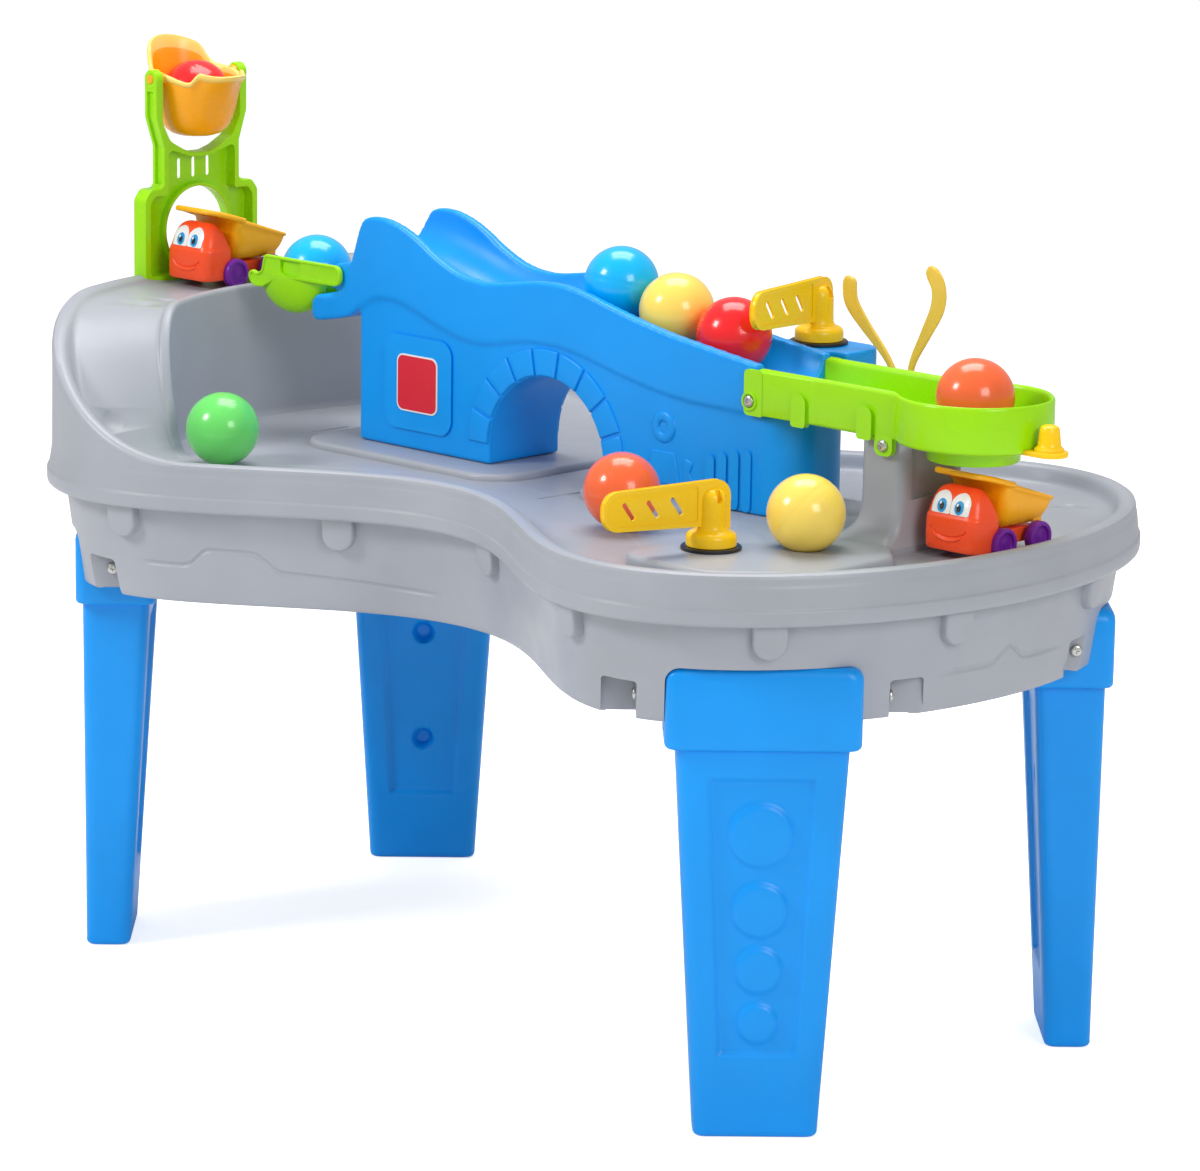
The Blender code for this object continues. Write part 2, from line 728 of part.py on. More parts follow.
def build_legs():
    tenon_top = FLOOR_Z - WALL - SEAT_GAP
    tenon_front = -0.020
    rings = [
        leg_ring(LEG_FOOT_WIDTH - 0.008, LEG_FOOT_DEPTH - 0.008, -0.004, 0.0, 0.007),
        leg_ring(LEG_FOOT_WIDTH, LEG_FOOT_DEPTH, 0.0, 0.005, 0.009),
        leg_ring(LEG_TOP_WIDTH, LEG_TOP_DEPTH, 0.0, LEG_SHOULDER_Z, 0.011),
        leg_ring(COLLAR_WIDTH, COLLAR_DEPTH, COLLAR_PROUD, LEG_SHOULDER_Z + 0.004, 0.012),
        leg_ring(COLLAR_WIDTH, COLLAR_DEPTH, COLLAR_PROUD, COLLAR_TOP_Z - 0.003, 0.012),
        leg_ring(COLLAR_WIDTH - 0.008, COLLAR_DEPTH - 0.008, COLLAR_PROUD - 0.004, COLLAR_TOP_Z, 0.010),
        leg_ring(TENON_WIDTH, TENON_DEPTH, tenon_front, COLLAR_TOP_Z, 0.008),
        leg_ring(TENON_WIDTH, TENON_DEPTH, tenon_front, tenon_top, 0.008),
    ]
    outer_low, outer_high = 0.075, 0.320
    panels = bmesh.new()
    slope = (LEG_TOP_WIDTH - LEG_FOOT_WIDTH) / 2 / LEG_SHOULDER_Z
    outer = [
        (-0.029 - slope * outer_low, outer_low), (0.029 + slope * outer_low, outer_low),
        (0.026 + slope * outer_high, outer_high), (-0.026 - slope * outer_high, outer_high),
    ]
    add_prism(panels, rounded_outline(outer, 0.007, 2), -PANEL_SINK, 0.010, "Y")
    inner = [(-0.032, 0.070), (0.032, 0.070), (0.044, 0.330), (-0.044, 0.330)]
    inner_face = -(LEG_FOOT_DEPTH + (LEG_TOP_DEPTH - LEG_FOOT_DEPTH) * 0.20)
    add_prism(panels, rounded_outline(inner, 0.007, 2), -0.090, inner_face - PANEL_SINK, "Y")
    for height in (0.130, 0.245):
        place = Matrix.Translation((0, inner_face - 0.016, height)) @ Matrix.Rotation(math.pi / 2, 4, "X")
        add_turned(panels, [(0.008, -0.026), (0.013, 0.020)], 10, place)
    discs = bmesh.new()
    for radius, height in zip(LEG_DISC_RADII, LEG_DISC_HEIGHTS):
        place = Matrix.Translation((0, -PANEL_SINK - 0.004, height)) @ Matrix.Rotation(-math.pi / 2, 4, "X")
        add_turned(discs, [(radius, 0), (radius, 0.0055), (radius - 0.003, 0.0075)], 16, place)
    holes = bmesh.new()
    for side in (-1, 1):
        lying = Matrix.Translation((side * (COLLAR_WIDTH / 2 - 0.020), -SCREW_INSET, LEG_SCREW_Z))
        lying = lying @ Matrix.Rotation(side * math.pi / 2, 4, "Y")
        radius = SCREW_SHANK_RADIUS + SEAT_GAP
        add_turned(holes, [(radius, 0), (radius, 0.040)], 10, lying)
    panel_mesh = mesh_from_bmesh("leg_panel", panels)
    disc_mesh = mesh_from_bmesh("leg_disc", discs)
    hole_mesh = mesh_from_bmesh("leg_hole", holes)
    leg_mesh = loft_mesh("leg", rings)
    for name, centre, angle in leg_frames():
        turn = (0, 0, angle - math.pi / 2)
        leg = add_object(name, leg_mesh.copy(), blue_plastic(), centre, turn)
        cut(leg, add_object(name + "_panel_guide", panel_mesh, None, centre, turn), True)
        fuse(leg, add_object(name + "_disc_guide", disc_mesh, None, centre, turn))
        cut(leg, add_object(name + "_hole_guide", hole_mesh, None, centre, turn))
        round_shading(leg)


def screw_profile(length, head_radius=SCREW_HEAD_RADIUS, head_height=SCREW_HEAD_HEIGHT, shank=SCREW_SHANK_RADIUS):
    """A pan-head screw along +Z, with the underside of its head at 0 and its shank below."""
    return [
        (0, -length), (shank, -length + 0.003), (shank, 0),
        (head_radius, 0), (head_radius, head_height * 0.45), (head_radius * 0.72, head_height * 0.9),
        (0, head_height),
    ]


def build_leg_screws():
    length = SOCKET_BLOCK + LEG_SCREW_GRIP
    mesh = turned_mesh("leg_screw", screw_profile(length), 10)
    for name, centre, angle in leg_frames():
        matrix = leg_matrix(centre, angle)
        for side, label in ((-1, "a"), (1, "b")):
            seat = side * (BLOCK_END + SEAT_GAP)
            place = matrix @ Matrix.Translation((seat, -SCREW_INSET, LEG_SCREW_Z))
            place = place @ Matrix.Rotation(side * math.pi / 2, 4, "Y")
            screw = add_object(name + "_screw_" + label, mesh.copy(), steel(), place.to_translation(), place.to_euler())
            round_shading(screw)


# Hill

HILL_TOP = [
    (-0.262, 0.681), (-0.251, 0.711), (-0.238, 0.719), (-0.215, 0.719), (-0.192, 0.713),
    (-0.172, 0.704), (-0.147, 0.690), (-0.116, 0.678), (-0.082, 0.674), (-0.048, 0.678),
    (-0.014, 0.683), (0.015, 0.684), (0.046, 0.680), (0.079, 0.672), (0.118, 0.663),
    (0.160, 0.655), (0.197, 0.650), (0.235, 0.645), (TRACK_END_X, 0.641),
]
HILL_GROOVE = [
    (TRACK_END_X, 0.596), (0.230, 0.596), (0.199, 0.597), (0.165, 0.599), (0.129, 0.604),
    (0.080, 0.614), (0.040, 0.623), (0.000, 0.627), (-0.037, 0.624), (-0.067, 0.618),
    (-0.095, 0.616), (-0.120, 0.619), (-0.146, 0.626), (-0.182, 0.638), (-0.206, 0.643),
    (-0.231, 0.641), (-0.252, 0.630), (-0.270, 0.618), (-0.314, 0.609),
]
HILL_HORN = [(-0.320, 0.615), (-0.320, 0.628), (-0.314, 0.634), (-0.290, 0.637), (-0.272, 0.640), (-0.271, 0.652)]
CHANNEL_FLOOR = [
    (-0.300, 0.674), (-0.262, 0.673), (-0.218, 0.672), (-0.175, 0.663), (-0.130, 0.650), (-0.082, 0.643),
    (-0.048, 0.646), (0.010, 0.652), (0.046, 0.649), (0.118, 0.632), (0.197, 0.617),
    (TRACK_END_X, 0.606), (0.310, 0.600),
]
SHELF_Z = OUTLET_TOP_Z + SHELF_LIFT


def arch_outline(half_width, rise, steps, foot):
    """A round arch over straight legs, from its right foot to its left foot."""
    spring = PLINTH_Z + rise - half_width
    points = [(half_width, foot)]
    for k in range(steps + 1):
        angle = math.pi * k / steps
        points.append((half_width * math.cos(angle), spring + half_width * math.sin(angle)))
    points.append((-half_width, foot))
    return points


def hill_body_outline():
    half = HILL_HALF_WIDTH - BODY_INSET
    corners = [(HILL_LEFT_X, -half), (HILL_RIGHT_X, -half), (HILL_RIGHT_X, half), (HILL_LEFT_X, half)]
    return rounded_outline(corners, [0.006, HILL_END_RADIUS, HILL_END_RADIUS, 0.006], 6)


def stone_wedges(bm, front):
    """Arch stones standing a little proud of the wall, on one face of the hill."""
    inner = TUNNEL_HALF_WIDTH + 0.001
    outer = inner + STONE_WIDTH
    spring = PLINTH_Z + TUNNEL_RISE - TUNNEL_HALF_WIDTH
    depth = BODY_INSET * 0.8
    face = front * (HILL_HALF_WIDTH - BODY_INSET)
    low, high = sorted((face - front * 0.002, face + front * depth))
    step = math.pi / STONE_COUNT
    for k in range(STONE_COUNT):
        start = step * k + STONE_GAP_ANGLE / 2
        end = step * (k + 1) - STONE_GAP_ANGLE / 2
        outline = []
        for radius, angles in ((inner, (start, (start + end) / 2, end)), (outer, (end, (start + end) / 2, start))):
            for angle in angles:
                outline.append((radius * math.cos(angle), spring + radius * math.sin(angle)))
        add_prism(bm, outline, low, high, "Y")


def build_hill():
    foot = PLINTH_Z + SEAT_GAP
    right_foot = PAD_Z + SEAT_GAP
    body = add_object("hill", prism_mesh("hill", hill_body_outline(), foot, 0.700), blue_plastic())

    above = [(x, z) for x, z in reversed(HILL_GROOVE) if x > HILL_LEFT_X - 0.010]
    end_z = OUTLET_LOW_Z - SEAT_GAP
    above = [(HILL_LEFT_X - 0.050, 0.625)] + above + [(TRACK_END_X, end_z), (0.340, end_z), (0.340, 0.760)]
    above.append((HILL_LEFT_X - 0.050, 0.760))
    wide = HILL_HALF_WIDTH + 0.030
    cut(body, add_object("hill_top_guide", prism_mesh("hill_top_guide", above, -wide, wide, "Y"), None))

    band_outline = HILL_TOP + HILL_GROOVE + HILL_HORN
    band = prism_mesh("band_guide", band_outline, -HILL_HALF_WIDTH, HILL_HALF_WIDTH, "Y")
    fuse(body, add_object("band_guide", band, None))

    shelf_corners = [
        (SHELF_LEFT_X, HILL_HALF_WIDTH - 0.004), (OUTLET_LEFT_X - 0.001, HILL_HALF_WIDTH - 0.004),
        (OUTLET_LEFT_X - 0.001, HILL_HALF_WIDTH + LAP_ROOM), (SHELF_RIGHT_X, HILL_HALF_WIDTH + LAP_ROOM),
        (SHELF_RIGHT_X, HILL_HALF_WIDTH + SHELF_DEPTH), (SHELF_LEFT_X, HILL_HALF_WIDTH + SHELF_DEPTH),
    ]
    shelf_outline = rounded_outline(shelf_corners, [0.0, 0.0, 0.0, 0.003, 0.024, 0.026], 5)
    shelf = prism_mesh("shelf_guide", shelf_outline, SHELF_Z - SHELF_THICKNESS, SHELF_Z)
    fuse(body, add_object("shelf_guide", shelf, None))

    ear_corners = [
        (SCOOP_PIVOT_X - 0.011, SCOOP_PIVOT_Z - 0.012), (HILL_LEFT_X - 0.002, SCOOP_PIVOT_Z - 0.024),
        (HILL_LEFT_X - 0.002, SCOOP_PIVOT_Z + 0.018), (SCOOP_PIVOT_X - 0.004, SCOOP_PIVOT_Z + 0.011),
    ]
    ear = rounded_outline(ear_corners, [0.004, 0.0, 0.0, 0.006], 3)
    ear_mesh = prism_mesh("ear_guide", ear, -HILL_HALF_WIDTH + 0.0007, -HILL_HALF_WIDTH + EAR_WIDTH, "Y")
    fuse(body, add_object("ear_guide", ear_mesh, None))

    relief = bmesh.new()
    stone_wedges(relief, -1)
    stone_wedges(relief, 1)
    half = PANEL_SIDE / 2
    panel = rounded_outline(rectangle(half, half, PANEL_X, PLINTH_Z + PANEL_RISE), 0.014, 4)
    add_prism(relief, panel, -HILL_HALF_WIDTH + 0.001, -HILL_HALF_WIDTH + BODY_INSET + 0.002, "Y")
    fuse(body, add_object("relief_guide", mesh_from_bmesh("relief_guide", relief), None))

    openings = bmesh.new()
    tunnel = arch_outline(TUNNEL_HALF_WIDTH, TUNNEL_RISE, 14, foot - 0.010)
    add_prism(openings, tunnel, -wide, wide, "Y")
    step_cut = [(0.060, foot - 0.020), (0.330, foot - 0.020), (0.330, right_foot), (0.060, right_foot)]
    add_prism(openings, step_cut, -wide - 0.01, wide + 0.01, "Y")
    openings_mesh = mesh_from_bmesh("tunnel_guide", openings)
    cut(body, add_object("tunnel_guide", openings_mesh, None), True)

    cut(body, add_object("channel_guide", channel_mesh(), None))

    pins = bmesh.new()
    radius = PIVOT_PIN_RADIUS + TURN_GAP
    x, y = REAR_POST
    add_turned(pins, [(radius, 0), (radius, SHELF_THICKNESS + 0.02)], 16, Matrix.Translation((x, y, SHELF_Z - SHELF_THICKNESS - 0.01)))
    turn = Matrix.Rotation(-math.pi / 2, 4, "X")
    radius = SCOOP_PIN_RADIUS + TURN_GAP
    place = Matrix.Translation((SCOOP_PIVOT_X, -HILL_HALF_WIDTH - 0.010, SCOOP_PIVOT_Z)) @ turn
    add_turned(pins, [(radius, 0), (radius, 0.050)], 14, place)
    for side in (-1, 1):
        place = Matrix.Translation((LAP_SCREW_X, side * (HILL_HALF_WIDTH - LAP_SCREW_GRIP - 0.001), LAP_SCREW_Z))
        place = place @ Matrix.Rotation(-side * math.pi / 2, 4, "X")
        radius = SCREW_SHANK_RADIUS + SEAT_GAP
        add_turned(pins, [(radius, 0), (radius, LAP_SCREW_GRIP + 0.0065)], 10, place)
    cut(body, add_object("pin_guide", mesh_from_bmesh("pin_guide", pins), None))
    round_shading(body, 30)


def channel_mesh():
    rings = []
    steps = 12
    x_count = 34
    for i in range(x_count + 1):
        x = -0.300 + i * 0.640 / x_count
        floor = curve_value(CHANNEL_FLOOR, x)
        ring = []
        for k in range(steps + 1):
            angle = math.pi * (1 + k / steps)
            ring.append((x, CHANNEL_RADIUS * math.cos(angle), floor + CHANNEL_RADIUS * (1 + math.sin(angle))))
        ring.append((x, CHANNEL_RADIUS, floor + 0.110))
        ring.append((x, -CHANNEL_RADIUS, floor + 0.110))
        rings.append(ring)
    return loft_mesh("channel_guide", rings)


def build_badge():
    half = BADGE_SIDE / 2
    back = -HILL_HALF_WIDTH + 0.001 - SEAT_GAP
    outline = rounded_outline(rectangle(half, half, PANEL_X, PLINTH_Z + PANEL_RISE), 0.008, 4)
    mesh = prism_mesh("badge", outline, back - BADGE_THICKNESS, back, "Y")
    add_object("badge", mesh, make_material("red_label", (0.75, 0.02, 0.02), 0.35))


# Outlet track

OUTLET_LOW_Z = OUTLET_TOP_Z - OUTLET_HEIGHT
OUTLET_FLOOR_Z = OUTLET_LOW_Z + 0.007
OUTLET_LEFT_X = TRACK_END_X - 0.012
LAP_SCREW_X = TRACK_END_X - 0.006
LAP_SCREW_Z = OUTLET_LOW_Z + 0.013
LAP_SCREW_GRIP = 0.005
PILLAR_SCREW_X = PILLAR_LEFT_X + 0.032
PILLAR_SCREW_Z = OUTLET_LOW_Z - 0.006
HOUSING_LOW_Z = OUTLET_LOW_Z - HOUSING_DROP
CHUTE_LOW_Z = OUTLET_LOW_Z - HOUSING_DROP - CHUTE_DROP
GATE_LOW_Z = OUTLET_FLOOR_Z - 0.003 - GATE_THICKNESS


def outlet_plan(half, bowl_radius, start_x, steps=22):
    """Straight channel walls that run into a round bowl, counter-clockwise."""
    meet = math.asin(min(1.0, half / bowl_radius))
    points = [(start_x, -half)]
    for k in range(steps + 1):
        angle = -math.pi + meet + (2 * math.pi - 2 * meet) * k / steps
        points.append((BOWL_X + bowl_radius * math.cos(angle), bowl_radius * math.sin(angle)))
    points.append((start_x, half))
    return points


def build_outlet():
    outer = outlet_plan(HILL_HALF_WIDTH, BOWL_RADIUS, TRACK_END_X + SEAT_GAP)
    body = add_object("outlet_track", prism_mesh("outlet_track", outer, OUTLET_LOW_Z, OUTLET_TOP_Z), green_plastic())

    under = bmesh.new()
    add_turned(under, [
        (BOWL_HOLE_RADIUS + CHUTE_WALL, CHUTE_LOW_Z), (BOWL_HOLE_RADIUS + CHUTE_WALL, HOUSING_LOW_Z),
        (HOUSING_RADIUS, HOUSING_LOW_Z), (HOUSING_RADIUS, OUTLET_LOW_Z + 0.003),
    ], 28, Matrix.Translation((BOWL_X, 0, 0)))
    for side in (-1, 1):
        tab_low = (PILLAR_SCREW_X - 0.008, side * (PILLAR_HALF_WIDTH + SEAT_GAP), OUTLET_LOW_Z - 0.014)
        tab_high = (PILLAR_SCREW_X + 0.008, side * (HILL_HALF_WIDTH - 0.0003), OUTLET_LOW_Z + 0.004)
        y_low, y_high = sorted((tab_low[1], tab_high[1]))
        outline = [(tab_low[0], y_low), (tab_high[0], y_low), (tab_high[0], y_high), (tab_low[0], y_high)]
        add_prism(under, outline, tab_low[2], tab_high[2])
        lap_low = side * (HILL_HALF_WIDTH + SEAT_GAP)
        lap_high = side * (HILL_HALF_WIDTH + 0.0035)
        y_low, y_high = sorted((lap_low, lap_high))
        outline = [(OUTLET_LEFT_X, y_low), (TRACK_END_X + 0.001, y_low), (TRACK_END_X + 0.001, y_high), (OUTLET_LEFT_X, y_high)]
        add_prism(under, outline, OUTLET_LOW_Z + 0.001, OUTLET_TOP_Z - 0.002)
        y_low, y_high = sorted((side * (HILL_HALF_WIDTH - 0.003), lap_high))
        outline = [(TRACK_END_X + 0.0005, y_low), (TRACK_END_X + 0.012, y_low), (TRACK_END_X + 0.012, y_high), (TRACK_END_X + 0.0005, y_high)]
        add_prism(under, outline, OUTLET_LOW_Z + 0.001, OUTLET_TOP_Z - 0.002)
        for rib_x in RIB_PLACES:
            y_low, y_high = sorted((side * (HILL_HALF_WIDTH - 0.002), side * (HILL_HALF_WIDTH + 0.003)))
            outline = [(rib_x - 0.004, y_low), (rib_x + 0.004, y_low), (rib_x + 0.004, y_high), (rib_x - 0.004, y_high)]
            add_prism(under, outline, OUTLET_LOW_Z + 0.0005, OUTLET_LOW_Z + 0.026)
    boss = Matrix.Translation((FORK_X, HILL_HALF_WIDTH - 0.002, FORK_Z)) @ Matrix.Rotation(-math.pi / 2, 4, "X")
    reach = FORK_STANDOFF + 0.002
    add_turned(under, [
        (0.007, 0), (0.007, reach - SEAT_GAP), (FORK_PIN_RADIUS, reach - SEAT_GAP),
        (FORK_PIN_RADIUS, reach + FORK_THICKNESS + 0.002),
    ], 16, boss)
    fuse(body, add_object("outlet_under_guide", mesh_from_bmesh("outlet_under_guide", under), None), True)

    inside = bmesh.new()
    plan = outlet_plan(CHANNEL_RADIUS, BOWL_RADIUS - OUTLET_WALL, OUTLET_LEFT_X - 0.02)
    add_prism(inside, plan, OUTLET_FLOOR_Z + 0.004, OUTLET_TOP_Z + 0.020)
    cut(body, add_object("outlet_inside_guide", mesh_from_bmesh("outlet_inside_guide", inside), None))
    lower = bmesh.new()
    narrow = outlet_plan(CHANNEL_RADIUS - 0.010, BOWL_RADIUS - OUTLET_WALL - 0.008, OUTLET_LEFT_X - 0.02)
    add_prism(lower, narrow, OUTLET_FLOOR_Z, OUTLET_FLOOR_Z + 0.010)
    cut(body, add_object("outlet_floor_guide", mesh_from_bmesh("outlet_floor_guide", lower), None))

    holes = bmesh.new()
    add_turned(holes, [(BOWL_HOLE_RADIUS, CHUTE_LOW_Z - 0.01), (BOWL_HOLE_RADIUS, OUTLET_FLOOR_Z + 0.008)], 28,
               Matrix.Translation((BOWL_X, 0, 0)))
    slot = [
        (BOWL_X - GATE_REACH - 0.004, -GATE_HALF_WIDTH - SEAT_GAP), (BOWL_X + 0.090, -GATE_HALF_WIDTH - SEAT_GAP),
        (BOWL_X + 0.090, GATE_HALF_WIDTH + SEAT_GAP), (BOWL_X - GATE_REACH - 0.004, GATE_HALF_WIDTH + SEAT_GAP),
    ]
    slots = bmesh.new()
    add_prism(slots, slot, GATE_LOW_Z - SEAT_GAP, GATE_LOW_Z + GATE_THICKNESS + SEAT_GAP)
    cut(body, add_object("outlet_hole_guide", mesh_from_bmesh("outlet_hole_guide", holes), None))
    cut(body, add_object("outlet_slot_guide", mesh_from_bmesh("outlet_slot_guide", slots), None))

    screws = bmesh.new()
    for side in (-1, 1):
        turn = Matrix.Rotation(-side * math.pi / 2, 4, "X")
        radius = SCREW_SHANK_RADIUS + SEAT_GAP
        for x, z in ((LAP_SCREW_X, LAP_SCREW_Z), (PILLAR_SCREW_X, PILLAR_SCREW_Z)):
            place = Matrix.Translation((x, side * (HILL_HALF_WIDTH - 0.014), z)) @ turn
            add_turned(screws, [(radius, 0), (radius, 0.030)], 10, place)
    cut(body, add_object("outlet_screw_guide", mesh_from_bmesh("outlet_screw_guide", screws), None))
    round_shading(body, 30)


RIB_PLACES = (0.320, 0.385)
FORK_Z = OUTLET_TOP_Z - FORK_DROP


def build_track_screws():
    lap_mesh = turned_mesh("lap_screw", screw_profile(LAP_SCREW_GRIP + 0.002), 10)
    pillar_mesh_data = turned_mesh("pillar_screw", screw_profile(0.016), 10)
    for side, label in ((-1, "front"), (1, "back")):
        turn = (-side * math.pi / 2, 0, 0)
        lap_y = side * (HILL_HALF_WIDTH + 0.0035 + SEAT_GAP)
        screw = add_object("lap_screw_" + label, lap_mesh.copy(), steel(), (LAP_SCREW_X, lap_y, LAP_SCREW_Z), turn)
        round_shading(screw)
        pillar_y = side * HILL_HALF_WIDTH
        place = (PILLAR_SCREW_X, pillar_y, PILLAR_SCREW_Z)
        screw = add_object("pillar_screw_" + label, pillar_mesh_data.copy(), steel(), place, turn)
        round_shading(screw)


def build_pillar_holes():
    """Pilot holes for the two screws that hold the outlet track to its pillar."""
    tray = bpy.data.objects["tray"]
    bm = bmesh.new()
    for side in (-1, 1):
        turn = Matrix.Rotation(-side * math.pi / 2, 4, "X")
        place = Matrix.Translation((PILLAR_SCREW_X, side * (PILLAR_HALF_WIDTH - 0.014), PILLAR_SCREW_Z)) @ turn
        radius = SCREW_SHANK_RADIUS + SEAT_GAP
        add_turned(bm, [(radius, 0), (radius, 0.030)], 10, place)
    cut(tray, add_object("pillar_hole_guide", mesh_from_bmesh("pillar_hole_guide", bm), None))


# Drop gate

def build_gate():
    bm = bmesh.new()
    far = GATE_KNOB_X + GATE_END_RADIUS
    near = BOWL_X - GATE_REACH
    corners = [(near, -GATE_HALF_WIDTH), (far, -GATE_HALF_WIDTH), (far, GATE_HALF_WIDTH), (near, GATE_HALF_WIDTH)]
    outline = rounded_outline(corners, [0.006, 0.014, 0.014, 0.006], 5)
    add_prism(bm, outline, GATE_LOW_Z, GATE_LOW_Z + GATE_THICKNESS)
    gate = add_object("drop_gate", mesh_from_bmesh("drop_gate", bm), yellow_plastic())
    top = GATE_LOW_Z + GATE_THICKNESS
    knob = turned_mesh("gate_knob_guide", [
        (GATE_KNOB_RADIUS + 0.001, top - 0.003), (GATE_KNOB_RADIUS + 0.0005, top + 0.004),
        (GATE_KNOB_RADIUS - 0.001, top + GATE_KNOB_HEIGHT - 0.005), (GATE_KNOB_RADIUS - 0.003, top + GATE_KNOB_HEIGHT - 0.0015),
        (GATE_KNOB_RADIUS - 0.007, top + GATE_KNOB_HEIGHT),
    ], 20, Matrix.Translation((GATE_KNOB_X, 0, 0)))
    fuse(gate, add_object("gate_knob_guide", knob, None))
    round_shading(gate)


# Flippers

def flipper_mesh_parts():
    post = [
        (FLANGE_RADIUS, 0), (FLANGE_RADIUS, FLANGE_HEIGHT * 0.55), (FLANGE_RADIUS - 0.003, FLANGE_HEIGHT * 0.85),
        (POST_RADIUS + 0.002, FLANGE_HEIGHT), (POST_RADIUS, FLANGE_HEIGHT + 0.003),
        (POST_RADIUS, POST_HEIGHT - 0.012), (POST_RADIUS * 0.92, POST_HEIGHT - 0.006),
        (POST_RADIUS * 0.66, POST_HEIGHT - 0.0015), (0, POST_HEIGHT),
    ]
    return post


def paddle_outline():
    low = PADDLE_LOW_Z
    high = low + PADDLE_HEIGHT
    corners = [(0.0, low), (PADDLE_LENGTH, low + 0.004), (PADDLE_LENGTH, high - 0.002), (0.0, high)]
    return rounded_outline(corners, [0.0, 0.014, 0.014, 0.003], 5)


def build_flipper(name, place, base_z, angle):
    x, y = place
    ring_profile = [(RING_RADIUS, 0), (RING_RADIUS, RING_HEIGHT * 0.6), (RING_RADIUS - 0.001, RING_HEIGHT), (0.0, RING_HEIGHT)]
    ring_profile = [(0.0, 0.0)] + ring_profile
    ring = add_object(name + "_ring", turned_mesh(name + "_ring", ring_profile, 28), black_plastic(), (x, y, base_z + SEAT_GAP))
    bore = turned_mesh(name + "_ring_bore", [(PIVOT_PIN_RADIUS + TURN_GAP, -0.005), (PIVOT_PIN_RADIUS + TURN_GAP, 0.010)], 16)
    cut(ring, add_object(name + "_ring_bore_guide", bore, None, (x, y, base_z)))
    round_shading(ring)

    origin = (x, y, base_z + SEAT_GAP * 2 + RING_HEIGHT)
    turn = (0, 0, angle)
    flipper = add_object(name, turned_mesh(name, flipper_mesh_parts(), 24), yellow_plastic(), origin, turn)
    paddle = prism_mesh(name + "_paddle", paddle_outline(), -PADDLE_THICKNESS / 2, PADDLE_THICKNESS / 2, "Y")
    fuse(flipper, add_object(name + "_paddle_guide", paddle, None, origin, turn))
    slots = bmesh.new()
    middle = PADDLE_LOW_Z + PADDLE_HEIGHT / 2
    for centre in (0.038, 0.063, 0.088):
        corners = [
            (centre - 0.008, middle + 0.011), (centre + 0.008 - PADDLE_SLOT, middle - 0.011),
            (centre + 0.008, middle - 0.009), (centre - 0.008 + PADDLE_SLOT, middle + 0.013),
        ]
        add_prism(slots, rounded_outline(corners, 0.0015, 2), -0.010, 0.010, "Y")
    cut(flipper, add_object(name + "_slot_guide", mesh_from_bmesh(name + "_slot", slots), None, origin, turn))
    bore = turned_mesh(name + "_bore", [(PIVOT_PIN_RADIUS + TURN_GAP, -0.005), (PIVOT_PIN_RADIUS + TURN_GAP, PIVOT_PIN_LENGTH - 0.004)], 16)
    cut(flipper, add_object(name + "_bore_guide", bore, None, origin, turn))
    round_shading(flipper)


def build_pivot_screw(name, place, under_z, top_z):
    """A shouldered screw that comes up from below and holds a flipper on its seat."""
    x, y = place
    head = PIVOT_HEAD_RADIUS
    low = under_z - SEAT_GAP - PIVOT_HEAD_HEIGHT
    profile = [
        (0, low), (head * 0.8, low), (head, low + PIVOT_HEAD_HEIGHT * 0.5), (head, low + PIVOT_HEAD_HEIGHT),
        (PIVOT_PIN_RADIUS, low + PIVOT_HEAD_HEIGHT), (PIVOT_PIN_RADIUS, top_z - 0.002),
        (PIVOT_PIN_RADIUS - 0.001, top_z), (0, top_z),
    ]
    screw = add_object(name, turned_mesh(name, profile, 16), steel(), (x, y, 0))
    round_shading(screw)


# Fork

def build_fork():
    left_shares = [(0.0, 0.0), (-0.100, 0.117), (-0.225, 0.283), (-0.433, 0.483), (-0.567, 0.633), (-0.567, 0.750), (-0.483, 0.842)]
    right_shares = [(0.0, 0.0), (0.025, 0.133), (0.067, 0.283), (0.183, 0.500), (0.283, 0.700), (0.283, 0.867), (0.183, 1.0)]
    left = [(across * FORK_REACH, up * FORK_REACH) for across, up in left_shares]
    right = [(across * FORK_REACH, up * FORK_REACH) for across, up in right_shares]
    low = HILL_HALF_WIDTH + FORK_STANDOFF
    high = low + FORK_THICKNESS
    origin = (FORK_X, 0, FORK_Z)
    bore_radius = FORK_PIN_RADIUS + TURN_GAP
    hub = turned_mesh("fork", [(FORK_HUB_RADIUS, 0), (FORK_HUB_RADIUS, FORK_THICKNESS)], 20,
                      Matrix.Translation((0, low, 0)) @ Matrix.Rotation(-math.pi / 2, 4, "X"))
    fork = add_object("fork", hub, yellow_plastic(), origin)
    for label, line in (("left", left), ("right", right)):
        outline = tine_outline(line)
        tine = prism_mesh("fork_" + label, outline, low + 0.002, high - 0.002, "Y")
        fuse(fork, add_object("fork_" + label + "_guide", tine, None, origin))
    bore = turned_mesh("fork_bore", [(bore_radius, -0.010), (bore_radius, 0.030)], 16,
                       Matrix.Translation((0, low, 0)) @ Matrix.Rotation(-math.pi / 2, 4, "X"))
    cut(fork, add_object("fork_bore_guide", bore, None, origin))
    round_shading(fork, 50)


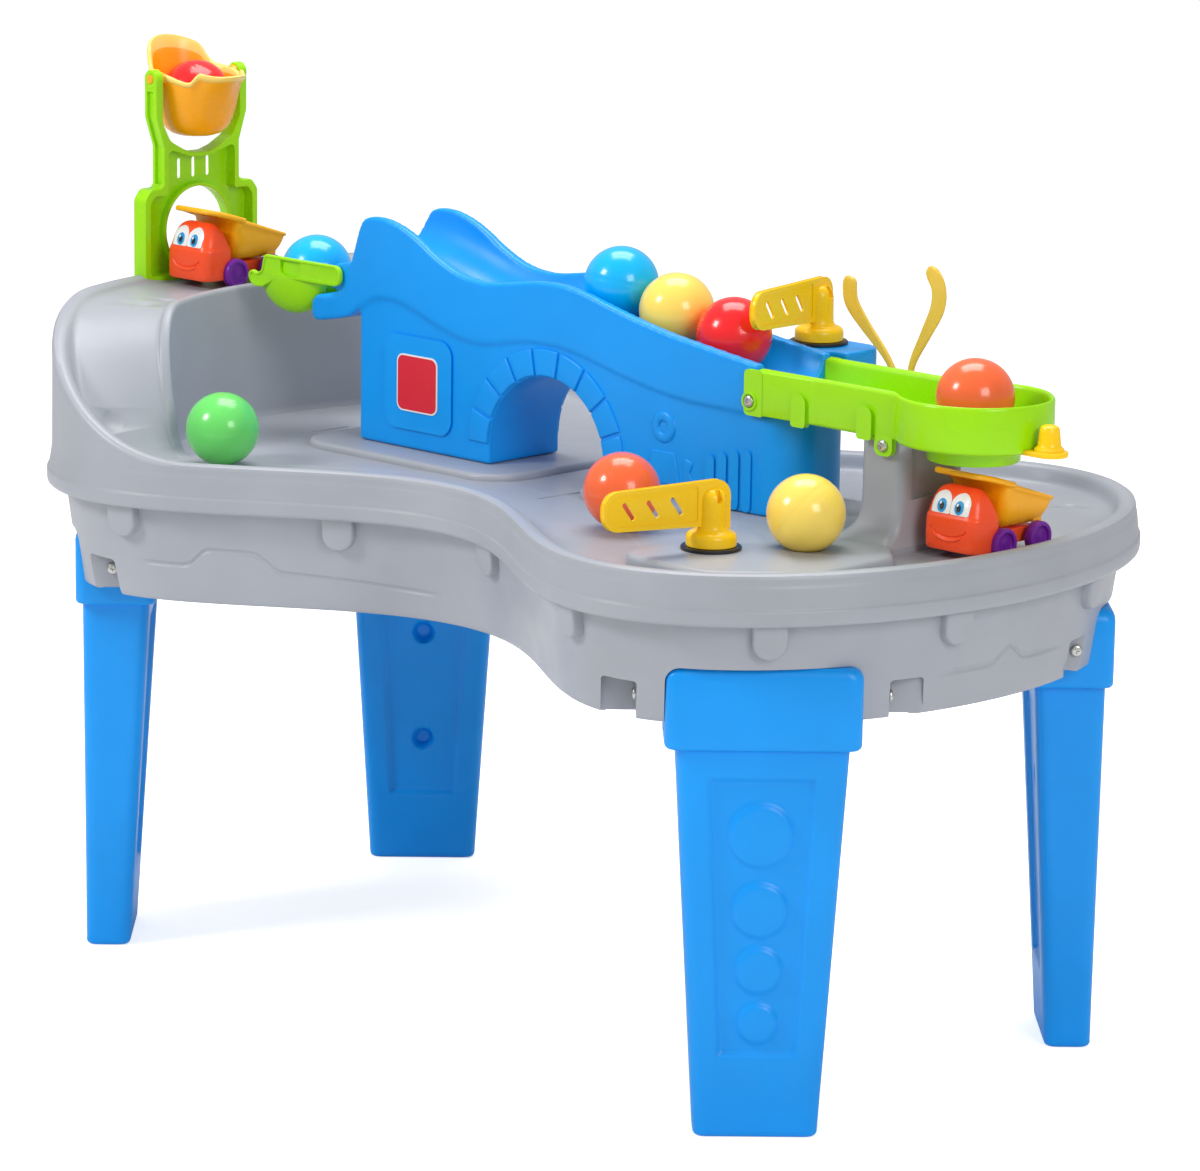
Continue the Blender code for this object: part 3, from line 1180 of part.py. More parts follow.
def tine_outline(line):
    """A curved finger along a line of points: slim at the hub, broad and rounded near its tip."""
    dense = []
    steps = 4
    for i in range(len(line) - 1):
        for k in range(steps):
            t = i + k / steps
            dense.append((read_line(line, t, 0), read_line(line, t, 1), t / (len(line) - 1)))
    dense.append((line[-1][0], line[-1][1], 1.0))
    left_side = []
    right_side = []
    for i, (x, z, share) in enumerate(dense):
        before = dense[max(i - 1, 0)]
        after = dense[min(i + 1, len(dense) - 1)]
        along = Vector((after[0] - before[0], after[1] - before[1])).normalized()
        half = 0.0035 + 0.0038 * math.sin(math.pi * share ** 1.6)
        half = half if share < 1 else 0.0012
        left_side.append((x - along.y * half, z + along.x * half))
        right_side.append((x + along.y * half, z - along.x * half))
    return right_side + left_side[::-1]


def read_line(line, t, axis):
    return curve_value([(i, point[axis]) for i, point in enumerate(line)], t)


# Tower

TOWER_FOOT_Z = DECK_Z + SEAT_GAP
PIVOT_Z = TOWER_FOOT_Z + TOWER_PIVOT_RISE
NECK_LOW_Z = TOWER_FOOT_Z + TOWER_BASE_HEIGHT
NECK_TOP_Z = TOWER_FOOT_Z + TOWER_NECK_TOP


def tower_outline(inset=0.0):
    """The tower's outline across Y and Z, right half mirrored: base, neck and two arms."""
    base = TOWER_BASE_WIDTH / 2 - inset
    neck = TOWER_NECK_WIDTH / 2 - inset
    arm_in = ARM_GAP / 2
    arm_out = arm_in + ARM_THICKNESS
    top = PIVOT_Z + ARM_EYE_RADIUS
    half = [(base, TOWER_FOOT_Z + inset), (base, NECK_LOW_Z - 0.010 - inset), (base - 0.008, NECK_LOW_Z - inset),
            (neck, NECK_LOW_Z - inset)]
    if inset > 0:
        half += [(neck, NECK_TOP_Z - 0.030), (neck - 0.012, NECK_TOP_Z - 0.042)]
    else:
        half += [(neck, NECK_TOP_Z), (neck + 0.004, NECK_TOP_Z + 0.012), (arm_out, NECK_TOP_Z + 0.030),
                 (arm_out, top), (arm_in, top), (arm_in, NECK_TOP_Z + 0.024),
                 (arm_in - 0.010, NECK_TOP_Z + 0.004), (arm_in - 0.028, NECK_TOP_Z - 0.010), (0.010, NECK_TOP_Z - 0.016)]
    right = [(TOWER_Y + y, z) for y, z in half]
    left = [(TOWER_Y - y, z) for y, z in reversed(half)]
    return right + left


def build_tower():
    front = TOWER_X + TOWER_DEPTH / 2
    back = TOWER_X - TOWER_DEPTH / 2
    body = add_object("tower", prism_mesh("tower", tower_outline(), back, front, "X"), green_plastic())
    hollow = prism_mesh("tower_hollow_guide", tower_outline(TOWER_BORDER), back + TOWER_PLATE, front + 0.010, "X")
    cut(body, add_object("tower_hollow_guide", hollow, None))
    holes = bmesh.new()
    turn = Matrix.Rotation(math.pi / 2, 4, "Y")
    centre_z = TOWER_FOOT_Z + 0.050
    place = Matrix.Translation((back - 0.010, TOWER_Y, centre_z)) @ turn
    add_turned(holes, [(TOWER_HOLE_RADIUS, 0), (TOWER_HOLE_RADIUS, 0.060)], 28, place)
    for offset in (-0.019, 0.0, 0.019):
        y = TOWER_Y + offset
        slot = rounded_outline(rectangle(0.0025, 0.011, y, NECK_LOW_Z + 0.018), 0.0024, 3)
        add_prism(holes, slot, back - 0.010, front + 0.010, "X")
    cut(body, add_object("tower_hole_guide", mesh_from_bmesh("tower_hole_guide", holes), None))
    eyes = rod_mesh("tower_eye_guide", TRUNNION_RADIUS + TURN_GAP, (TOWER_X, TOWER_Y - 0.10, PIVOT_Z), (TOWER_X, TOWER_Y + 0.10, PIVOT_Z))
    cut(body, add_object("tower_eye_guide", eyes, None))
    round_shading(body, 30)


def bucket_ring(radius, height, share):
    """One ring of the bucket: share 0 is the bottom and 1 the rim with its lip and spout."""
    ring = []
    steps = 28
    for i in range(steps):
        angle = 2 * math.pi * i / steps
        forward = math.cos(angle)
        lip = max(0.0, -forward) ** 1.4 * BUCKET_LIP_RISE * share
        notch = -0.010 * math.exp(-((abs(angle - math.pi) - 1.75) / 0.22) ** 2) * share
        spout = max(0.0, forward) ** 4 * BUCKET_SPOUT * share ** 2
        back = max(0.0, -forward) ** 2 * 0.004 * share
        reach = radius + spout + back
        rise = lip + notch + max(0.0, forward) ** 4 * 0.004 * share
        ring.append((reach * math.cos(angle), radius * math.sin(angle), height + rise))
    return ring


def build_bucket():
    low = -BUCKET_DEPTH
    rings = [
        bucket_ring(BUCKET_BOTTOM_RADIUS - 0.012, low, 0.0),
        bucket_ring(BUCKET_BOTTOM_RADIUS - 0.004, low + 0.003, 0.0),
        bucket_ring(BUCKET_BOTTOM_RADIUS, low + 0.010, 0.0),
        bucket_ring(BUCKET_RADIUS - 0.003, low + 0.035, 0.25),
        bucket_ring(BUCKET_RADIUS, -0.004, 0.8),
        bucket_ring(BUCKET_RADIUS + 0.001, 0.0, 1.0),
        bucket_ring(BUCKET_RADIUS - 0.001, 0.001, 1.0),
        bucket_ring(BUCKET_RADIUS - BUCKET_WALL, -0.004, 0.8),
        bucket_ring(BUCKET_RADIUS - BUCKET_WALL - 0.003, low + 0.035, 0.25),
        bucket_ring(BUCKET_BOTTOM_RADIUS - BUCKET_WALL, low + 0.013, 0.0),
        bucket_ring(BUCKET_BOTTOM_RADIUS - BUCKET_WALL - 0.009, low + 0.005, 0.0),
    ]
    origin = (TOWER_X, TOWER_Y, PIVOT_Z)
    bucket = add_object("bucket", loft_mesh("bucket", rings), yellow_plastic(), origin)
    pins = bmesh.new()
    for side in (-1, 1):
        start = side * (BUCKET_RADIUS - BUCKET_WALL + 0.0005)
        collar = side * (ARM_GAP / 2 - 0.0008)
        end = side * (ARM_GAP / 2 + ARM_THICKNESS + 0.0015)
        place = Matrix.Rotation(-side * math.pi / 2, 4, "X")
        add_turned(pins, [
            (0.0075, abs(start)), (0.0075, abs(collar)), (TRUNNION_RADIUS, abs(collar)), (TRUNNION_RADIUS, abs(end)),
        ], 16, place)
    fuse(bucket, add_object("bucket_pin_guide", mesh_from_bmesh("bucket_pin_guide", pins), None, origin))
    round_shading(bucket)


# Scoop

def build_scoop():
    inner = BALL_RADIUS + 0.0008
    outer = inner + SCOOP_WALL
    steps = 7
    profile = [(0.0, -outer)]
    for k in range(1, steps + 1):
        angle = math.radians(80) * k / steps
        profile.append((outer * math.sin(angle), -outer * math.cos(angle)))
    pivot = Vector((SCOOP_PIVOT_X, 0, SCOOP_PIVOT_Z))
    centre = Vector((SCOOP_BALL_X, SCOOP_BALL_Y, SCOOP_BALL_Z)) - pivot
    scoop = add_object("scoop", turned_mesh("scoop", profile, 24, Matrix.Translation(centre)), green_plastic(), pivot)

    plate_back = -HILL_HALF_WIDTH - 0.0005
    outline = [
        (0.010, -0.010), (0.010, 0.010), (-0.098, 0.010), (-0.102, 0.004), (-0.104, -0.006), (-0.116, -0.008),
        (-0.122, -0.014), (-0.118, -0.024), (-0.106, -0.032), (-0.090, -0.042), (-0.070, -0.046),
        (-0.050, -0.042), (-0.040, -0.030), (-0.036, -0.012),
    ]
    outline = rounded_outline(outline[::-1], 0.003, 2)
    plate = prism_mesh("scoop_plate", outline, plate_back - SCOOP_PLATE, plate_back, "Y")
    fuse(scoop, add_object("scoop_plate_guide", plate, None, pivot))
    web_low = SCOOP_BALL_Y - outer + 0.0015
    web = prism_mesh("scoop_web", [
        (centre.x - 0.020, centre.z - 0.030), (centre.x + 0.020, centre.z - 0.030),
        (centre.x + 0.022, centre.z - 0.012), (centre.x - 0.022, centre.z - 0.012),
    ], plate_back - 0.001, web_low + 0.012, "Y")
    fuse(scoop, add_object("scoop_web_guide", web, None, pivot))
    hollow = bmesh.new()
    bmesh.ops.create_uvsphere(hollow, u_segments=24, v_segments=14, radius=inner, matrix=Matrix.Translation(centre))
    cut(scoop, add_object("scoop_hollow_guide", mesh_from_bmesh("scoop_hollow", hollow), None, pivot))
    pin = rod_mesh("scoop_pin", SCOOP_PIN_RADIUS, (0, plate_back - 0.001, 0), (0, -HILL_HALF_WIDTH + EAR_WIDTH - 0.001, 0))
    fuse(scoop, add_object("scoop_pin_guide", pin, None, pivot))
    round_shading(scoop)


# Balls

BALL_COLOURS = {
    "red": (0.80, 0.015, 0.02),
    "blue": (0.01, 0.42, 0.75),
    "green": (0.10, 0.62, 0.13),
    "yellow": (0.95, 0.62, 0.16),
    "orange": (0.90, 0.13, 0.04),
}


def track_ball_z(x):
    """Height of a ball's centre that touches the channel floor on a slope."""
    best = 0.0
    for k in range(-20, 21):
        reach = k * BALL_RADIUS / 20
        floor = curve_value(CHANNEL_FLOOR, x + reach)
        best = max(best, floor + math.sqrt(max(0.0, BALL_RADIUS ** 2 - reach ** 2)))
    return best + SEAT_GAP


YELLOW_BALL_PLACE = (0.392, -0.120, PAD_Z + BALL_RADIUS - 0.004)
TRACK_BALL_X = (0.050, 0.121, 0.193)


def build_balls():
    rest = FLOOR_Z + BALL_RADIUS + SEAT_GAP
    gate_top = GATE_LOW_Z + GATE_THICKNESS
    bucket_rest = PIVOT_Z - BUCKET_DEPTH + 0.005 + BALL_RADIUS + SEAT_GAP
    places = [
        ("ball_red_bucket", "red", (TOWER_X, TOWER_Y, bucket_rest)),
        ("ball_blue_scoop", "blue", (SCOOP_BALL_X, SCOOP_BALL_Y, SCOOP_BALL_Z)),
        ("ball_green_floor", "green", (-0.268, -0.212, rest)),
        ("ball_blue_track", "blue", (TRACK_BALL_X[0], 0, track_ball_z(TRACK_BALL_X[0]))),
        ("ball_yellow_track", "yellow", (TRACK_BALL_X[1], 0, track_ball_z(TRACK_BALL_X[1]))),
        ("ball_red_track", "red", (TRACK_BALL_X[2], 0, track_ball_z(TRACK_BALL_X[2]))),
        ("ball_orange_bowl", "orange", (BOWL_X, 0, gate_top + BALL_RADIUS + SEAT_GAP)),
        ("ball_orange_floor", "orange", (0.194, -0.146, rest)),
        ("ball_yellow_floor", "yellow", YELLOW_BALL_PLACE),
    ]
    for name, colour, place in places:
        bm = bmesh.new()
        bmesh.ops.create_uvsphere(bm, u_segments=16, v_segments=10, radius=BALL_RADIUS)
        mesh = mesh_from_bmesh(name, bm)
        material = make_material(colour + "_ball_plastic", BALL_COLOURS[colour], 0.25)
        ball = add_object(name, mesh, material, place)
        ball.data.shade_smooth()


# Trucks

def build_truck(name, x, y, floor_z, heading):
    place = Matrix.Translation((x, y, floor_z + SEAT_GAP)) @ Matrix.Rotation(heading, 4, "Z")
    turn = (0, 0, heading)
    spot = place.to_translation()
    low = TRUCK_CLEARANCE
    nose = -TRUCK_LENGTH / 2
    tail = TRUCK_LENGTH / 2
    cab_back = nose + CAB_LENGTH
    orange = make_material("orange_red_plastic", (0.85, 0.10, 0.02), 0.35)
    purple = make_material("purple_plastic", (0.16, 0.01, 0.36), 0.35)
    amber = make_material("amber_plastic", (0.95, 0.38, 0.01), 0.35)

    side = [(nose + 0.002, low), (cab_back, low), (cab_back, low + CAB_HEIGHT), (nose + 0.008, low + CAB_HEIGHT),
            (nose + 0.002, low + CAB_HEIGHT * 0.55)]
    side = rounded_outline(side, [0.004, 0.0, 0.012, 0.016, 0.006], 4)
    body_mesh = prism_mesh(name + "_body", side, -CAB_WIDTH / 2, CAB_WIDTH / 2, "X")
    body = add_object(name + "_body", body_mesh, orange, spot, turn)
    softened = body.modifiers.new("rounded_edges", "BEVEL")
    softened.width = 0.005
    softened.segments = 2
    softened.limit_method = "ANGLE"
    softened.angle_limit = math.radians(60)
    frame = box_mesh(name + "_frame", (-FRAME_WIDTH / 2, cab_back - 0.006, low + 0.002), (FRAME_WIDTH / 2, tail - 0.006, low + 0.002 + FRAME_HEIGHT))
    fuse(body, add_object(name + "_frame_guide", frame, None, spot, turn))
    holes = bmesh.new()
    for axle_y in axle_places():
        place_axle = Matrix.Translation((-0.040, axle_y, WHEEL_RADIUS)) @ Matrix.Rotation(math.pi / 2, 4, "Y")
        add_turned(holes, [(AXLE_RADIUS + TURN_GAP, 0), (AXLE_RADIUS + TURN_GAP, 0.080)], 12, place_axle)
    lug_z = low + 0.002 + FRAME_HEIGHT - 0.004
    place_hinge = Matrix.Translation((-0.040, tail - BED_HINGE_INSET, lug_z)) @ Matrix.Rotation(math.pi / 2, 4, "Y")
    add_turned(holes, [(0.0017 + TURN_GAP, 0), (0.0017 + TURN_GAP, 0.080)], 10, place_hinge)
    for side_sign in (-1, 1):
        near, far = sorted((side_sign * (CAB_WIDTH / 2 - 0.003), side_sign * (CAB_WIDTH / 2 + 0.010)))
        arch = [(near, axle_places()[0] - WHEEL_RADIUS - 0.002), (far, axle_places()[0] - WHEEL_RADIUS - 0.002),
                (far, cab_back + 0.010), (near, cab_back + 0.010)]
        add_prism(holes, arch, -0.002, WHEEL_RADIUS * 2 + 0.003)
    cut(body, add_object(name + "_hole_guide", mesh_from_bmesh(name + "_hole", holes), None, spot, turn), True)
    round_shading(body)

    for label, axle_y in zip(("front", "rear"), axle_places()):
        reach = WHEEL_TRACK / 2 + WHEEL_WIDTH / 2 - HUB_FACE - SEAT_GAP
        rod = rod_mesh(name + "_axle", AXLE_RADIUS, (-reach, 0, 0), (reach, 0, 0), 12)
        centre = place @ Vector((0, axle_y, WHEEL_RADIUS))
        axle = add_object(name + "_" + label + "_axle", rod, steel(), centre, turn)
        round_shading(axle)
        for side_label, side_sign in (("right", -1), ("left", 1)):
            wheel_mesh = wheel(name + "_wheel", side_sign)
            hub = place @ Vector((side_sign * WHEEL_TRACK / 2, axle_y, WHEEL_RADIUS))
            item = add_object(name + "_" + label + "_wheel_" + side_label, wheel_mesh, purple, hub, turn)
            round_shading(item)
    build_bed(name, place, turn, cab_back, tail, lug_z, amber)


def axle_places():
    nose = -TRUCK_LENGTH / 2
    first = nose + CAB_LENGTH - 0.001
    return (first, first + WHEEL_BASE - 0.008)


def wheel(name, outward):
    """A dished wheel on its own X axis, with a blind hub that takes the end of the axle."""
    half = WHEEL_WIDTH / 2
    bore = AXLE_RADIUS + SEAT_GAP
    profile = [
        (bore, -half), (WHEEL_RADIUS, -half), (WHEEL_RADIUS, half - 0.001),
        (WHEEL_RADIUS - 0.001, half), (WHEEL_RADIUS - 0.0035, half), (WHEEL_RADIUS - 0.0045, half - 0.0013),
        (0, half - 0.0013),
    ]
    bm = bmesh.new()
    matrix = Matrix.Rotation(outward * math.pi / 2, 4, "Y")
    add_turned(bm, [(0, half - HUB_FACE)] + [(bore, half - HUB_FACE)] + profile, 16, matrix)
    return mesh_from_bmesh(name, bm)


def build_bed(name, place, turn, cab_back, tail, lug_z, material):
    """The tipping hopper: it hinges at the tail, and its front lip reaches over the cab."""
    hinge = Vector((0, tail - BED_HINGE_INSET, lug_z))
    floor = TRUCK_CLEARANCE + 0.002 + FRAME_HEIGHT + 0.002 - hinge.z
    front = cab_back + 0.002 - hinge.y
    back = tail - hinge.y
    lip = front - 0.030
    top = TRUCK_CLEARANCE + CAB_HEIGHT + 0.012 - hinge.z
    half_top = BED_WIDTH / 2
    half_low = FRAME_WIDTH / 2 - 0.003

    def ring(y_low, y_high, half, z_low, z_high, spread):
        return [(-half, y_low, z_low), (half, y_low, z_low), (half + spread, y_high, z_high), (-half - spread, y_high, z_high)]

    outer_low = [(-half_low, front + 0.004, floor), (half_low, front + 0.004, floor), (half_low, back - 0.002, floor), (-half_low, back - 0.002, floor)]
    outer_mid = [(-half_top + 0.004, front, floor + 0.018), (half_top - 0.004, front, floor + 0.018),
                 (half_top - 0.006, back + 0.003, floor + 0.010), (-half_top + 0.006, back + 0.003, floor + 0.010)]
    outer_top = [(-half_top, front - 0.002, top - 0.006), (half_top, front - 0.002, top - 0.006),
                 (half_top - 0.002, back + 0.006, floor + 0.022), (-half_top + 0.002, back + 0.006, floor + 0.022)]
    wall = BED_WALL
    inner_top = [(-half_top + wall, front - 0.002 + wall, top - 0.005), (half_top - wall, front - 0.002 + wall, top - 0.005),
                 (half_top - 0.002 - wall, back + 0.006 - wall, floor + 0.023), (-half_top + 0.002 + wall, back + 0.006 - wall, floor + 0.023)]
    inner_mid = [(-half_top + 0.004 + wall, front + wall, floor + 0.018), (half_top - 0.004 - wall, front + wall, floor + 0.018),
                 (half_top - 0.006 - wall, back + 0.003 - wall, floor + 0.011), (-half_top + 0.006 + wall, back + 0.003 - wall, floor + 0.011)]
    inner_low = [(-half_low + wall, front + 0.004 + wall, floor + wall), (half_low - wall, front + 0.004 + wall, floor + wall),
                 (half_low - wall, back - 0.002 - wall, floor + wall), (-half_low + wall, back - 0.002 - wall, floor + wall)]
    mesh = loft_mesh(name + "_bed", [outer_low, outer_mid, outer_top, inner_top, inner_mid, inner_low])
    spot = place @ hinge
    bed = add_object(name + "_bed", mesh, material, spot, turn)
    canopy = bmesh.new()
    add_loft(canopy, [
        [(-half_top + 0.008, lip, top), (half_top - 0.008, lip, top), (half_top - 0.008, lip, top + 0.003), (-half_top + 0.008, lip, top + 0.003)],
        [(-half_top, front + 0.0005, top - 0.009), (half_top, front + 0.0005, top - 0.009), (half_top, front + 0.0005, top - 0.0055), (-half_top, front + 0.0005, top - 0.0055)],
    ])
    fuse(bed, add_object(name + "_canopy_guide", mesh_from_bmesh(name + "_canopy", canopy), None, spot, turn))
    pins = bmesh.new()
    for side_sign in (-1, 1):
        near = side_sign * (FRAME_WIDTH / 2 + 0.0005)
        far = side_sign * (FRAME_WIDTH / 2 + 0.0035)
        x_low, x_high = sorted((near, far))
        outline = [(-0.0035, -0.0035), (0.0035, -0.0035), (0.006, floor + 0.010), (-0.006, floor + 0.010)]
        add_prism(pins, outline, x_low, x_high, "X")
        pin = Matrix.Translation((side_sign * (FRAME_WIDTH / 2 - 0.005), 0, 0)) @ Matrix.Rotation(side_sign * math.pi / 2, 4, "Y")
        add_turned(pins, [(0.0017, 0), (0.0017, 0.0065)], 10, pin)
    fuse(bed, add_object(name + "_pin_guide", mesh_from_bmesh(name + "_pin", pins), None, spot, turn), True)


def build_all():
    clear_scene()
    build_tray()
    build_pillar_holes()
    build_legs()
    build_leg_screws()
    build_hill()
    build_badge()
    build_outlet()
    build_track_screws()
    build_gate()
    build_flipper("front_flipper", FRONT_POST, PAD_Z, FRONT_PADDLE_ANGLE)
    build_flipper("rear_flipper", REAR_POST, SHELF_Z, REAR_PADDLE_ANGLE)
    build_pivot_screw("front_pivot_screw", FRONT_POST, FLOOR_Z - WALL, PAD_Z + RING_HEIGHT + 0.020)
    build_pivot_screw("rear_pivot_screw", REAR_POST, SHELF_Z - SHELF_THICKNESS, SHELF_Z + RING_HEIGHT + 0.020)
    build_fork()
    build_tower()
    build_bucket()
    build_scoop()
    build_balls()
    build_truck("truck_deck", -0.4828, -0.019, DECK_Z, 0.0)
    build_truck("truck_road", 0.480, 0.018, FLOOR_Z, 0.0)


build_all()
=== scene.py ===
"""Looks of the ball run activity table: a grey moulded table top on four blue legs, with a ramped road,
a blue hill with a half-pipe track, a green outlet track, a tower with a tipping bucket, a scoop, flippers,
a drop gate, balls and two tipping trucks. Metres, +Z up, +X along the ball track, +Y to the back.
"""
import math

import bmesh
import bpy
from mathutils import Matrix, Vector


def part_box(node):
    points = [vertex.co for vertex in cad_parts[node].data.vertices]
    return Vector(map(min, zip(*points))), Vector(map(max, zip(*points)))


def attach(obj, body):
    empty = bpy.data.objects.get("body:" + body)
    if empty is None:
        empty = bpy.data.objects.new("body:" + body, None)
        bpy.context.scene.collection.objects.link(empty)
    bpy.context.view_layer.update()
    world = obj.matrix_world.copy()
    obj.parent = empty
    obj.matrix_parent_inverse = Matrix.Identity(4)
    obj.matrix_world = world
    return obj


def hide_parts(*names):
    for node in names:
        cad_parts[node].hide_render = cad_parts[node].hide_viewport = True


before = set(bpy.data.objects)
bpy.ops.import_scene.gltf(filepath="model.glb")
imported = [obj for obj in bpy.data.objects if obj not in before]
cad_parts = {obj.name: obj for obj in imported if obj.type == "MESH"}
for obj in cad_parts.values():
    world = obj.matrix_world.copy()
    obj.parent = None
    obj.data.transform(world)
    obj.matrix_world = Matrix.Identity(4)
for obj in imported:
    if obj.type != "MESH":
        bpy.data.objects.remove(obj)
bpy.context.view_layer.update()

# Camera and studio: a long lens looking down on the front right corner, a pale sweep of floor,
# a large soft lamp overhead, a soft key from the left and a weaker fill from the right.
camera_turn = math.radians(43.89)
camera_tilt = math.radians(12.29)
camera_roll = math.radians(-0.85)
camera_place = Vector((3.293, -3.394, 1.419))
ahead = Vector((
    -math.sin(camera_turn) * math.cos(camera_tilt), math.cos(camera_turn) * math.cos(camera_tilt),
    -math.sin(camera_tilt),
))
level = Vector((math.cos(camera_turn), math.sin(camera_turn), 0))
down = ahead.cross(level)
across = level * math.cos(camera_roll) + down * math.sin(camera_roll)
below = down * math.cos(camera_roll) - level * math.sin(camera_roll)
camera_data = bpy.data.cameras.new("photo_camera")
camera_data.sensor_fit = "HORIZONTAL"
camera_data.sensor_width = 36
camera_data.lens = 5103 / 1200 * 36
camera_data.clip_start = 0.05
camera_data.clip_end = 50
camera = bpy.data.objects.new("photo_camera", camera_data)
bpy.context.collection.objects.link(camera)
camera.matrix_world = Matrix((
    (across.x, -below.x, -ahead.x, camera_place.x),
    (across.y, -below.y, -ahead.y, camera_place.y),
    (across.z, -below.z, -ahead.z, camera_place.z),
    (0, 0, 0, 1),
))
bpy.context.scene.camera = camera
bpy.context.scene.view_settings.view_transform = "Standard"


def soft_lamp(name, place, aim, size, power):
    lamp_data = bpy.data.lights.new(name, "AREA")
    lamp_data.shape = "RECTANGLE"
    lamp_data.size = size[0]
    lamp_data.size_y = size[1]
    lamp_data.energy = power
    lamp = bpy.data.objects.new(name, lamp_data)
    bpy.context.collection.objects.link(lamp)
    lamp.location = place
    lamp.rotation_euler = (Vector(aim) - Vector(place)).to_track_quat("-Z", "Y").to_euler()


soft_lamp("overhead_lamp", (-0.4, 0.5, 3.0), (0, 0, 0.5), (1.8, 1.4), 52)
soft_lamp("key_lamp", (-1.3, -2.9, 2.7), (0, 0, 0.5), (0.9, 0.9), 62)
soft_lamp("fill_lamp", (3.6, -1.1, 2.2), (0, 0, 0.5), (1.4, 1.4), 46)

world = bpy.data.worlds.new("studio_world")
world.use_nodes = True
bpy.context.scene.world = world
nodes = world.node_tree.nodes
links = world.node_tree.links
nodes.clear()
sky_out = nodes.new("ShaderNodeOutputWorld")
dome = nodes.new("ShaderNodeBackground")
dome.inputs["Color"].default_value = (1, 1, 1, 1)
dome.inputs["Strength"].default_value = 0.46
backdrop = nodes.new("ShaderNodeBackground")
backdrop.inputs["Color"].default_value = (1, 1, 1, 1)
backdrop.inputs["Strength"].default_value = 1.0
ray = nodes.new("ShaderNodeLightPath")
seen = nodes.new("ShaderNodeMath")
seen.operation = "MAXIMUM"
pick = nodes.new("ShaderNodeMixShader")
links.new(ray.outputs["Is Camera Ray"], seen.inputs[0])
links.new(ray.outputs["Is Transmission Ray"], seen.inputs[1])
links.new(seen.outputs[0], pick.inputs[0])
links.new(dome.outputs[0], pick.inputs[1])
links.new(backdrop.outputs[0], pick.inputs[2])
links.new(pick.outputs[0], sky_out.inputs["Surface"])

bpy.ops.object.select_all(action="DESELECT")
bpy.ops.mesh.primitive_circle_add(vertices=96, radius=9, fill_type="NGON", location=(0, 0, 0))
floor = bpy.context.object
floor.name = "studio_floor"
paper = bpy.data.materials.new("studio_paper")
paper.use_nodes = True
nodes = paper.node_tree.nodes
links = paper.node_tree.links
nodes.clear()
paper_out = nodes.new("ShaderNodeOutputMaterial")
matt = nodes.new("ShaderNodeBsdfDiffuse")
matt.inputs["Color"].default_value = (0.9, 0.9, 0.9, 1)
glow = nodes.new("ShaderNodeEmission")
glow.inputs["Strength"].default_value = 0.62
still = nodes.new("ShaderNodeEmission")
still.inputs["Strength"].default_value = 0.0
ray = nodes.new("ShaderNodeLightPath")
seen = nodes.new("ShaderNodeMixShader")
both = nodes.new("ShaderNodeAddShader")
links.new(ray.outputs["Is Camera Ray"], seen.inputs[0])
links.new(still.outputs[0], seen.inputs[1])
links.new(glow.outputs[0], seen.inputs[2])
links.new(matt.outputs[0], both.inputs[0])
links.new(seen.outputs[0], both.inputs[1])
links.new(both.outputs[0], paper_out.inputs["Surface"])
floor.data.materials.append(paper)

# Table top: one grey moulding of tough plastic. A rounded rim runs round two lobes and a waist, climbs
# with the road to a raised deck at the left end, and stands on a bead over a sloping skirt. The plinth
# under the hill, the pads, the pillar, the pads under the bead and the leg sockets are moulded in.
floor_z = 0.493
deck_z = 0.623
plinth_z = 0.500
pad_z = 0.503
skirt_low_z = 0.372
bead_low_z = 0.464
lobe_x = 0.330
lobe_reach = 0.222
half_width = 0.328
waist_half_width = 0.186
lobe_steps = 104
waist_steps = 120


def noise(tree, place, detail, scale=5.0):
    """A noise field laid in the piece's own space."""
    field = tree.nodes.new("ShaderNodeTexNoise")
    field.inputs["Scale"].default_value = scale
    field.inputs["Detail"].default_value = detail
    tree.links.new(place.outputs["Object"], field.inputs["Vector"])
    return field


def worked_out(tree, operation, *terms):
    """The outcome of a sum or product of sockets and plain numbers."""
    node = tree.nodes.new("ShaderNodeMath")
    node.operation = operation
    for socket, term in zip(node.inputs, terms):
        if isinstance(term, float):
            socket.default_value = term
        else:
            tree.links.new(term, socket)
    return node.outputs[0]


